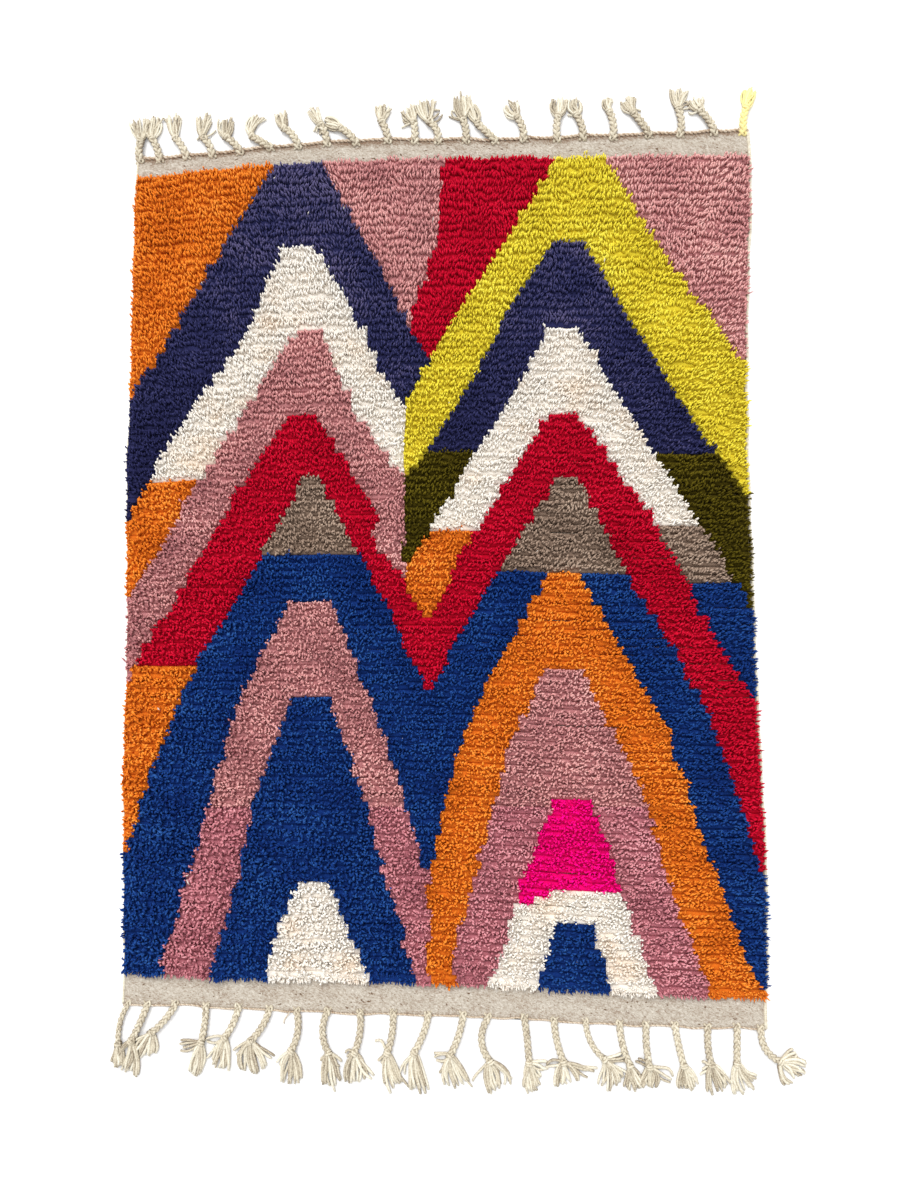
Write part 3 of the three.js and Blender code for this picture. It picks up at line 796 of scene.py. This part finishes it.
def flank_ends(knots, side):
    count = FLANK_ENDS[side]
    outward = np.array(OUTWARD[side])
    along = uniform(0, 1, count)
    across = uniform(0, 1, count)
    if outward[0]:
        across = np.full(count, max(outward[0], 0))
    else:
        along = np.full(count, max(outward[1], 0))
    x, y = pile_point(across, along)
    x, y = x - FLANK_INSET * outward[0], y - FLANK_INSET * outward[1]
    out = RIM_LEANS[side] * uniform(*FLANK_LEANS, count)
    if outward[0]:
        least, more = FLANK_STEP
        out *= least + more * np.cos(2 * np.pi * (along * PILE_ROWS - 0.5))
    scatter = FLANK_LEAN_SCATTER * normal(0, 1, (count, 2))
    middle, spread = FLANK_TONE
    return {"x": x, "y": y, "lean": outward * out[:, None] + scatter,
            "colour": colour_at(knots, x, y),
            "tone": np.clip(middle + spread * normal(0, 1, count), 0, 1),
            "root": np.full(count, PILE_FOOT + FLANK_ROOT),
            "drop": uniform(*FLANK_DROPS, count),
            "radius": np.full(count, END_RADIUS)}


def all_ends(knots):
    sets = [pile_ends(knots), *(flank_ends(knots, side) for side in OUTWARD)]
    return {field: np.concatenate([ends[field] for ends in sets]) for field in sets[0]}


def end_centres(ends):
    """Points along each end, up out of its bar and over to where it leans, and its side."""
    count = len(ends["x"])
    size = np.linalg.norm(ends["lean"], axis=1)
    heading = np.concatenate([unit(ends["lean"]), np.zeros((count, 1))], 1)
    across = aside(heading)
    tip = PILE_TIP + swell_at(ends["x"], ends["y"]) - ends["drop"]
    lying = np.clip(size * LYING_RATE, 0, 1)
    reach = END_REACH * np.minimum(size, FARTHEST_LEAN)
    curl = END_CURL * normal(0, 1, count)
    root = np.stack([ends["x"], ends["y"], ends["root"]], 1)
    centres = []
    for share, standing, laid in zip(END_SHARES, STANDING, LYING):
        out = reach * share ** REACH_POWER
        up = np.outer((tip - ends["root"]) * lerp(standing, laid, lying), [0.0, 0.0, 1.0])
        bend = curl * math.sin(math.pi * share * CURL_WAVE)
        centres.append(root + heading * out[:, None] + up + across * bend[:, None])
    return np.stack(centres, 1), across


def end_faces():
    """One end's triangles: its sides, its foot and its rounded point."""
    corner = END_SIDES + np.arange(END_SIDES)
    point = np.stack([corner, np.roll(corner, -1), np.full_like(corner, 2 * END_SIDES)], 1)
    return np.concatenate([loft_faces(2, END_SIDES)[:-1], point])


def end_bodies(ends):
    """Points, faces, tones and painted light of all those ends."""
    centres, across = end_centres(ends)
    count = len(centres)
    ahead = unit(np.gradient(centres, axis=1))
    upward = unit(np.cross(ahead, across[:, None, :]))
    roll = uniform(0, 2 * np.pi, count)
    radius = ends["radius"] * uniform(*END_RADII, count)
    radius = np.where(ends["tone"] > 1, FLECK_THINNESS * radius, radius)
    points = []
    painted_light = []
    for ring, width in enumerate(END_WIDTHS):
        for corner in range(END_SIDES):
            angle = roll - 2 * np.pi * corner / END_SIDES
            side = (radius * width * np.cos(angle))[:, None] * across
            rise = (radius * width * np.sin(angle))[:, None] * upward[:, ring]
            points.append(centres[:, ring] + side + rise)
            # Painted shade: darker towards an end's root and on its underside.
            painted_light.append(END_SHARES[ring] ** 0.5 - UNDERSIDE_SHADE * (1 - np.sin(angle)) / 2)
    points = np.stack([*points, centres[:, -1]], 1)
    painted_light = np.stack([*painted_light, np.ones(count)], 1)
    each = points.shape[1]
    faces = end_faces()[None] + (np.arange(count) * each)[:, None, None]
    tones = np.repeat(ends["tone"], each)
    return points.reshape(-1, 3), faces.reshape(-1, 3), tones, painted_light.ravel()


def add_feet(mesh, knots, number, first, after):
    """The bars under one colour, from a knot up to another in every row."""
    for row in range(PILE_ROWS):
        for start, stop, found in runs_of(knots[row, first:after]):
            if found == number:
                points, faces = foot_bar(row, first + start, first + stop)
                reach = np.tile(BAR_PAINTED_LIGHT, len(points) // len(BAR_PAINTED_LIGHT))
                mesh.add(points, faces, BAR_SHADED_TONE, reach)


def add_pile():
    """Each colour becomes one piece, and blue, the widest, one on each side of the middle."""
    knots = knot_chart()
    ends = all_ends(knots)
    half = KNOTS // 2
    middle = pile_point(half / KNOTS, 0.5)[0]
    for number, colour in enumerate(COLOURS):
        parts = {"": (0, KNOTS)}
        if colour == "blue":
            parts = {"_left": (0, half), "_right": (half, KNOTS)}
        for suffix, (first, after) in parts.items():
            mesh = Gatherer()
            add_feet(mesh, knots, number, first, after)
            chosen = ends["colour"] == number
            if suffix:
                chosen &= (ends["x"] < middle) == (suffix == "_left")
            mesh.add(*end_bodies({field: values[chosen] for field, values in ends.items()}))
            piece = mesh.to_object(f"pile_{colour}{suffix}")
            finish_piece(piece, f"pile_{colour}", "pile_field")


add_pile()

# The woven ground: two flat-woven bands with their weave, and what lies under the pile

WARP_STEP = 2.5
WEFT_STEP = 1.6
UNDER_PILE = 9
BEADS = 52
BEAD_DEPTH = 0.7
BEAD_POINTS = 12
WEAVE_RISE = 0.22
WEAVE_SWELL = 0.3
WEAVE_SWELL_LENGTH = 24
END_DRAW = 1.3
END_DRAWING = (0.5, 34, 63)


def zip_lines(near, far):
    """Triangles between two lines of point numbers that run towards +X, near the nearer to -Y."""
    faces = []
    a = b = 0
    while a < len(near) - 1 or b < len(far) - 1:
        if (a + 1) * (len(far) - 1) <= (b + 1) * (len(near) - 1):
            faces.append((near[a], near[a + 1], far[b]))
            a += 1
        else:
            faces.append((near[a], far[b + 1], far[b]))
            b += 1
    return faces


def woven_end(edge, x):
    """A ground's end, drawn in a little and unevenly between its tassels."""
    inward = END_DRAW * (0.5 + smooth_noise(x, 0 * x, *END_DRAWING))
    return end_y(edge, x) + (inward if edge == "bottom" else -inward)


def under_pile(edge, x):
    """Where a band ends, a little way under the pile."""
    return end_y(f"pile_{edge}", x) + (UNDER_PILE if edge == "bottom" else -UNDER_PILE)


def band_shares(edge):
    """Shares from a ground's end to a little under the pile, a weft apart."""
    depth = abs(END_EDGES[edge][3] - END_EDGES[f"pile_{edge}"][3]) + UNDER_PILE
    return np.linspace(0, 1, round(depth / WEFT_STEP) + 1)


def ground_line(low, high, share, columns, depth=0):
    """A line of (x, y) at a share of the way between two others, which are functions of x."""
    across = np.linspace(0, 1, columns)
    x = lerp(-HALF_WIDTH, HALF_WIDTH, across)
    y = lerp(low(x), high(x), share)
    x = lerp(side_x("left", y[0]) - depth, side_x("right", y[-1]) + depth, across)
    return x, lerp(low(x), high(x), share)


def ground_lines():
    """The ground's upper face as lines of (x, y) that run towards +X."""
    columns = round(2 * HALF_WIDTH / WARP_STEP) + 1
    bottom, top = (partial(woven_end, edge) for edge in ("bottom", "top"))
    low, high = (partial(under_pile, edge) for edge in ("bottom", "top"))
    lines = [ground_line(bottom, low, share, columns) for share in band_shares("bottom")]
    for bead in range(1, 2 * BEADS):
        depth = BEAD_DEPTH if bead % 2 else 0
        lines.append(ground_line(low, high, bead / (2 * BEADS), BEAD_POINTS, depth))
    lines += [ground_line(top, high, share, columns) for share in band_shares("top")[::-1]]
    return lines


def weave_height(x, y, line):
    """The upper face's height: warps and wefts over and under each other, on soft swells."""
    place = np.arange(len(x))
    weave = WEAVE_RISE * (-1.0) ** (place + line)
    swell = smooth_noise(x, y, WEAVE_SWELL, WEAVE_SWELL_LENGTH, 61)
    inside = (place > 0) & (place < len(x) - 1)
    return GROUND_THICKNESS + (weave + swell - WEAVE_SWELL) * inside


def rim_of(lines):
    """The point numbers round a face, counterclockwise from above."""
    middle = lines[1:-1]
    return [*lines[0], *(line[-1] for line in middle), *lines[-1][::-1],
            *(line[0] for line in middle[::-1])]


def ground_body():
    """The ground's points and triangles: a woven upper face, a flat lower one and its rim."""
    lines = ground_lines()
    points = []
    upper = []
    lower = []
    for number, (x, y) in enumerate(lines):
        upper.append(len(points) + np.arange(len(x)))
        points.extend(np.stack([x, y, weave_height(x, y, number)], 1))
        if 0 < number < len(lines) - 1:
            x, y = x[[0, -1]], y[[0, -1]]
        lower.append(len(points) + np.arange(len(x)))
        points.extend(np.stack([x, y, 0 * x], 1))
    faces = []
    for near, far in zip(upper, upper[1:]):
        faces += zip_lines(near, far)
    for near, far in zip(lower, lower[1:]):
        faces += [face[::-1] for face in zip_lines(near, far)]
    above, below = rim_of(upper), rim_of(lower)
    for place, corner in enumerate(above):
        after = (place + 1) % len(above)
        faces.append((below[place], below[after], above[after]))
        faces.append((below[place], above[after], corner))
    return np.array(points), np.array(faces)


# How far the bands darken and brown towards their ends, as (tone, millimetres inward).
END_TINTS = {"bottom": (0.1, 5), "top": (0.5, 6)}
GROUND_TONE = 0.5
MOTTLE = 0.14
# Streaks across the bands, as (how much longer than wide, noise).
STREAKS = [(3, (0.06, 60, 71)), (2, (0.03, 14, 72))]


def add_ground():
    mesh = Gatherer()
    points, faces = ground_body()
    x, y = points[:, 0], points[:, 1]
    tone = GROUND_TONE + MOTTLE * normal(0, 1, len(points))
    tone += sum(smooth_noise(x, narrowing * y, *noise) for narrowing, noise in STREAKS)
    for edge, (depth, inward) in END_TINTS.items():
        tone -= depth * np.exp(-((y - end_y(edge, x)) / inward) ** 2)
    mesh.add(points, faces, tone)
    piece = mesh.to_object("ground")
    finish_piece(piece, "ground_wool", "ground_weave")
    return piece


ground = add_ground()

# Selvedges: the outer warps, wrapped by the weft as it turns at every row

# Each selvedge's radius, and how far inward it lies.
SELVEDGES = {"left": (1.9, 1.2), "right": (2.7, 2.0)}
SELVEDGE_STEP = 3.1
SELVEDGE_SIDES = 7
SELVEDGE_TONES = (0.5, 0.8)
WRAP_PITCH = 6.3
WRAP_SWELL = 0.16


def add_selvedge(side, outward):
    radius, inward = SELVEDGES[side]
    corner = outward * HALF_WIDTH
    y = np.arange(end_y("bottom", corner) + 1, end_y("top", corner) - 1, SELVEDGE_STEP)
    x = side_x(side, y) - outward * inward
    swell = 1 + WRAP_SWELL * np.cos(2 * np.pi * y / WRAP_PITCH)
    radii = radius * (swell + uniform(-0.06, 0.06, len(y)))
    path = np.stack([x, y, np.full(len(y), radius * 1.25)], 1)
    mesh = Gatherer()
    tone = np.repeat(uniform(*SELVEDGE_TONES, len(y)), SELVEDGE_SIDES)
    mesh.add(*tube(path, radii, SELVEDGE_SIDES), tone)
    finish_piece(mesh.to_object(f"selvedge_{side}"), "fringe_wool")


add_selvedge("left", -1)
add_selvedge("right", 1)

# Tassels: plaits of three strands, each with a knot and a tuft of loose yarns.
# Each is (root, knot across, knot out, bow, tip across, tip out, tuft's width), in millimetres.
# The knot is measured from the root, and the tuft's tip from the knot. The bow is how far the
# plait's middle strays towards +X.

TASSELS = {
    "bottom": [
        (-486, -14, 60, -5, -2, 34, 16), (-456, -24, 54, 1, -9, 51, 35),
        (-413, -36, 42, 3, -11, 36, 27), (-365, -7, 54, 2, -9, 51, 24),
        (-315, -21, 45, 3, -6, 48, 29), (-267, -29, 47, 4, 6, 48, 38),
        (-224, -9, 60, 6, -1, 52, 29), (-177, 2, 62, -8, 5, 52, 32),
        (-126, -9, 59, 4, 3, 43, 35), (-75, -9, 59, 3, 11, 54, 29),
        (-21, -22, 56, 3, 8, 58, 29), (33, -20, 60, 3, 14, 48, 35),
        (72, 3, 66, -12, 14, 46, 35), (128, 7, 68, 1, 6, 44, 25),
        (174, 15, 62, -3, 5, 34, 35), (223, 29, 56, -7, 11, 46, 35),
        (275, 16, 62, -3, 8, 40, 25), (316, 5, 62, -2, -3, 34, 25),
        (361, 13, 60, -1, 9, 35, 32), (412, 5, 56, -3, 14, 41, 38),
        (457, -1, 54, 0, 17, 40, 38), (494, 30, 49, -10, 31, 22, 41),
    ],
    "top": [
        (-490, 1, 29, -2, -4, 34, 32), (-458, -13, 33, 2, 4, 31, 21),
        (-415, -18, 29, 2, -3, 35, 22), (-373, -16, 28, 3, 4, 33, 24),
        (-328, -23, 23, 2, 2, 28, 24), (-279, -31, 18, 0, 9, 31, 24),
        (-234, -23, 28, 4, -5, 26, 19), (-187, -10, 30, 2, -12, 25, 17),
        (-140, -26, 23, 2, -23, 14, 16), (-88, -11, 31, 2, 3, 25, 25),
        (-44, -2, 31, 1, -8, 23, 22), (-6, -16, 31, 5, -7, 31, 35),
        (39, -5, 33, 2, -3, 40, 29), (86, -29, 28, 0, -13, 33, 19),
        (133, -11, 35, 3, -13, 23, 27), (187, 2, 36, -2, 0, 30, 25),
        (229, -11, 36, 3, -3, 25, 19), (278, -6, 41, 3, -1, 21, 17),
        (336, -26, 36, 1, -8, 23, 25), (387, -3, 41, 3, 2, 31, 29),
        (442, -23, 35, 3, -6, 20, 25), (489, 5, 38, -2, 10, 30, 18),
    ],
}
# Yarns that lie apart from a tassel's tuft, by its number, as (across, out, yarns) from its knot.
STRAYS = {
    "bottom": {
        3: [(-24, 14, 2)], 4: [(-32, 5, 4)], 5: [(-28, 6, 2), (-29, 32, 1)],
        6: [(38, 28, 2), (-22, 19, 3)], 7: [(-21, 20, 2), (16, 36, 1)],
        8: [(21, 17, 2), (-13, 12, 1)], 9: [(-13, 3, 2), (31, 41, 2)],
        10: [(-19, -16, 1), (-12, 14, 2), (30, 52, 1)], 11: [(-21, 34, 2)],
        12: [(-24, 3, 3), (-20, 28, 1), (36, 48, 1)], 13: [(-28, 32, 1), (32, 28, 1)],
        14: [(30, 5, 3), (19, 22, 2)], 15: [(-30, 6, 2), (52, 12, 2), (41, 20, 2)],
        16: [(31, -4, 3), (35, 26, 2)], 18: [(-21, -10, 2), (38, 22, 3)],
        19: [(19, 18, 2)], 20: [(-15, 0, 2), (-18, 17, 1)], 22: [(26, -15, 3), (38, 8, 3)],
    },
    "top": {
        4: [(-10, -1, 1), (22, 14, 1)], 7: [(-6, 20, 1)], 8: [(-8, -13, 3), (4, -14, 3)],
        11: [(-20, 5, 2), (-22, -11, 1)], 12: [(20, 16, 3)], 13: [(-22, 13, 3), (11, 24, 1)],
        17: [(-15, 1, 1)], 19: [(13, 6, 1)], 20: [(18, 11, 3), (15, 30, 1)], 21: [(-18, 2, 2)],
    },
}
# The tassel tinted pale yellow, and how much.
YELLOW_TINTED = {"fringe_top_22": 0.75}
PLAIT = {"period": 25.0, "sway": 3.3, "lift": 2.2, "strand": 2.5, "centre": 5.2, "step": 2.2}
# How wide the plaits are at each end, and the two that are thin, as shares of that shape.
PLAIT_WIDTHS = {"bottom": 1.0, "top": 1.12, "fringe_bottom_01": 0.78, "fringe_bottom_16": 0.85}
PLAIT_ROOT = 7.0
SQUARE_SPAN = 7.0
ROOT_FLARE = 0.9
FLARE_LENGTH = 5.0
STRAND_SIDES = 8
# How deep a yarn's plies are, and their turn for each millimetre.
STRAND_SPIN = (0.13, 0.35)
YARN_SPIN = (0.1, 0.3)
STRAND_TONES = (0.42, 0.62)
KNOT = {"across": 4.4, "height": 4.4, "yarn": 2.1, "turns": 1.7, "advance": 3.2, "steps": 22}
KNOT_TONES = (0.5, 0.7)
# A tuft is a few locks of yarns that part from each other.
TUFTS = {
    "bottom": {"locks": 4, "yarns": 3, "radius": 2.35, "fan": 3.2, "reach": (0.9, 1.13)},
    "top": {"locks": 5, "yarns": 3, "radius": 1.85, "fan": 1.7, "reach": (1.02, 1.26)},
}
NARROWEST_TUFT = 6
STRAY_FAN = 5.5
YARN_STEPS = 8
YARN_SIDES = 6
YARN_SWAY = 2.2
YARN_TONES = (0.3, 0.9)
# How high a yarn starts, how much higher one lies over another, and how far inside its knot.
YARN_START = 4.6
YARN_LAYER = 2.4
INSIDE_KNOT = 2
# A yarn's taper, as shares of its length and of its radius.
YARN_TAPER = ([0, 0.15, 0.85, 1.0], [0.8, 1.0, 1.0, 0.8])


def bezier(start, bend, end, shares):
    shares = np.asarray(shares)[:, None]
    return (1 - shares) ** 2 * start + 2 * shares * (1 - shares) * bend + shares ** 2 * end


def plait_axis(edge, outward, root, knot, bow):
    """The plait's middle line on the floor, from inside the band's edge to its knot."""
    start = np.array([root, end_y(edge, root), 0.0])
    end = start + [knot[0], outward * knot[1], 0.0]
    bend = (start + end) / 2 + 2 * bow * aside(unit(end - start) * outward)
    steps = round(np.linalg.norm(end - start) / PLAIT["step"]) + 1
    curve = bezier(start, bend, end, np.linspace(0, 1, steps))
    rise = end_y(edge, root + SQUARE_SPAN) - end_y(edge, root - SQUARE_SPAN)
    square = unit(np.array([-rise, 2 * SQUARE_SPAN, 0.0])) * outward
    inside = start - square * PLAIT_ROOT
    return np.concatenate([[inside, (inside + start) / 2], curve])


def add_plait(mesh, axis, phase, width):
    across = aside(unit(np.gradient(axis, axis=0)))
    length = lengths_along(axis)
    flare = 1 + ROOT_FLARE * np.exp(-length / FLARE_LENGTH)
    for strand in range(3):
        angle = 2 * np.pi * (length / PLAIT["period"] + strand / 3) + phase
        side = PLAIT["sway"] * width * flare * np.sin(angle)
        radii = PLAIT["strand"] * width * np.clip(0.6 + length / 16, 0, 1)
        radii = radii * uniform(0.93, 1.05, len(axis))
        height = width * (PLAIT["centre"] + PLAIT["lift"] * np.sin(2 * angle))
        centre = axis + across * side[:, None]
        centre[:, 2] = np.maximum(height * np.clip(0.4 + length / 20, 0, 1), 1.16 * radii)
        tone = uniform(*STRAND_TONES) + normal(0, 0.05, len(axis))
        add_spun(mesh, centre, radii, STRAND_SIDES, tone, STRAND_SPIN)


def add_knot(mesh, knot, heading):
    shares = np.linspace(0, 1, KNOT["steps"])
    angle = 2 * np.pi * KNOT["turns"] * shares + uniform(0, 2 * np.pi)
    along = KNOT["advance"] * (shares - 0.5) * 2
    across = KNOT["across"] * np.cos(angle)
    centre = knot + np.outer(along, heading) + np.outer(across, aside(heading))
    centre[:, 2] = np.maximum(KNOT["height"] * (1.25 + np.sin(angle)), KNOT["yarn"])
    add_spun(mesh, centre, KNOT["yarn"], YARN_SIDES, uniform(*KNOT_TONES))


def add_yarn(mesh, path, radius, layer):
    """A loose yarn along (start, bend, tip) that comes down from its knot to the floor."""
    shares = np.linspace(0, 1, YARN_STEPS)
    centre = bezier(*path, shares)
    sway = YARN_SWAY * normal() * shares * np.sin(5 * shares + uniform(0, 6))
    centre += np.outer(sway, aside(unit(path[2] - path[0])))
    high = YARN_START + YARN_LAYER * layer
    low = 1.12 * radius + YARN_LAYER * layer * uniform(0.2, 1.0)
    centre[:, 2] = lerp(high, low, np.clip(shares * 1.6, 0, 1))
    radii = radius * np.interp(shares, *YARN_TAPER)
    add_spun(mesh, centre, radii, YARN_SIDES, uniform(*YARN_TONES), YARN_SPIN)


def add_lock(mesh, knot, heading, bend, end, tuft):
    """A few yarns that lie side by side from the knot and part a little at their tips."""
    side = aside(unit(end - knot))
    for yarn in range(tuft["yarns"]):
        place = yarn - (tuft["yarns"] - 1) / 2
        start = knot - heading * INSIDE_KNOT + side * 1.2 * place
        tip = knot + (end - knot) * uniform(0.86, 1.06)
        tip = tip + side * tuft["fan"] * (place + uniform(-0.5, 0.5))
        middle = bend + side * tuft["radius"] * 1.5 * place
        radius = tuft["radius"] * uniform(0.85, 1.1)
        add_yarn(mesh, (start, middle, tip), radius, yarn % 2)


def add_tuft(mesh, knot, heading, tuft, middle, width):
    length = np.linalg.norm(middle)
    side = math.copysign(1, middle[1]) * aside(middle) / length
    inner = max(width - tuft["fan"], NARROWEST_TUFT)
    for lock in range(tuft["locks"]):
        place = lock / (tuft["locks"] - 1) - 0.5 + uniform(-0.07, 0.07)
        reach = uniform(*tuft["reach"]) * (1 - 0.2 * abs(place))
        end = knot + middle * reach + side * inner * place
        bow = 0.85 * inner * place + normal(0, 4)
        bend = knot + 0.5 * (heading * 0.3 * length + middle * 0.45) + side * bow
        add_lock(mesh, knot, heading, bend, end, tuft)


def add_stray(mesh, knot, heading, tuft, strayed, yarns):
    """Yarns that curl aside from the knot."""
    side = aside(unit(strayed))
    for yarn in range(yarns):
        fan = STRAY_FAN * (yarn - (yarns - 1) / 2)
        end = knot + strayed * uniform(0.88, 1.04) + side * fan
        bend = knot + 0.5 * strayed + side * (1.6 * fan + normal(0, 3.5))
        radius = tuft["radius"] * uniform(0.8, 1.0)
        add_yarn(mesh, (knot - heading * INSIDE_KNOT, bend, end), radius, yarn % 2)


def add_tassels(end, outward):
    tuft = TUFTS[end]
    for number, (root, *knot, bow, across, out, width) in enumerate(TASSELS[end], 1):
        name = f"fringe_{end}_{number:02d}"
        mesh = Gatherer()
        axis = plait_axis(end, outward, root, knot, bow)
        knot, heading = axis[-1], unit(axis[-1] - axis[-2])
        plait_width = PLAIT_WIDTHS.get(name, PLAIT_WIDTHS[end])
        add_plait(mesh, axis, uniform(0, 2 * np.pi), plait_width)
        add_knot(mesh, knot, heading)
        add_tuft(mesh, knot, heading, tuft, np.array([across, outward * out, 0.0]), width)
        for across, out, yarns in STRAYS[end].get(number, []):
            add_stray(mesh, knot, heading, tuft, np.array([across, outward * out, 0.0]), yarns)
        made = mesh.to_object(name, stain=YELLOW_TINTED.get(name, 0.0))
        finish_piece(made, "fringe_wool", f"tassel_{end}_{number:02d}")


add_tassels("bottom", -1)
add_tassels("top", 1)

# End cords: two yarns twined along each end edge, wrapped round the short tassels' roots

CORDS = {
    "bottom": {"yarn": 1.1, "turn": 0.8, "pitch": 8.0, "height": 2.0, "out": 1.4,
               "tones": (0.6, 0.8)},
    "top": {"yarn": 1.6, "turn": 1.2, "pitch": 14.0, "height": 2.9, "out": 2.4,
            "tones": (0.58, 0.76)},
}
CORD_MOTTLE = (0.12, 40)
# A thread that has come loose from the lower edge, as (x, across, out).
LOOSE_THREAD = (-235, -8, 20)
TWINE_STEP = 1.5
WRAP = {"turns": 3, "half": 6.5, "radius": 3.0, "yarn": 1.3, "steps": 34}
WRAP_TONES = (0.6, 0.85)


def add_root_wrap(mesh, edge, outward, root):
    shares = np.linspace(0, 1, WRAP["steps"])
    angle = 2 * np.pi * WRAP["turns"] * shares
    x = root + WRAP["half"] * (2 * shares - 1)
    y = woven_end(edge, x) + outward * CORDS[edge]["out"] + WRAP["radius"] * np.cos(angle)
    z = CORDS[edge]["height"] + WRAP["radius"] * np.sin(angle)
    centre = np.stack([x, y, np.maximum(z, WRAP["yarn"])], 1)
    add_spun(mesh, centre, WRAP["yarn"], YARN_SIDES, uniform(*WRAP_TONES))


def add_loose_thread(mesh, edge, outward):
    place, across, out = LOOSE_THREAD
    start = np.array([place, end_y(edge, place), 0.0])
    bend = start + [0.9 * across, 0.4 * outward * out, 0.0]
    path = (start, bend, start + [across, outward * out, 0.0])
    add_yarn(mesh, path, CORDS[edge]["yarn"], 0)


def add_end_cord(edge, outward):
    mesh = Gatherer()
    cord = CORDS[edge]
    left = side_x("left", end_y(edge, -HALF_WIDTH)) + 1
    right = side_x("right", end_y(edge, HALF_WIDTH)) - 1
    x = np.arange(left, right, TWINE_STEP)
    y = woven_end(edge, x) + outward * cord["out"]
    wave = 2 * np.pi * x / cord["pitch"] + 0.7 * np.sin(x / 31)
    for yarn, middle_tone in enumerate(cord["tones"]):
        angle = wave + yarn * np.pi
        height = cord["height"] + cord["turn"] * np.sin(angle)
        centre = np.stack([x, y + cord["turn"] * np.cos(angle), height], 1)
        tone = middle_tone + smooth_noise(x, y, *CORD_MOTTLE, 81 + yarn)
        add_spun(mesh, centre, cord["yarn"], YARN_SIDES, tone)
    if edge == "bottom":
        add_loose_thread(mesh, edge, outward)
    else:
        for root, *_ in TASSELS[edge]:
            add_root_wrap(mesh, edge, outward, root)
    finish_piece(mesh.to_object(f"twined_{edge}"), "cord_wool", f"end_cord_{edge}")


add_end_cord("bottom", -1)
add_end_cord("top", 1)
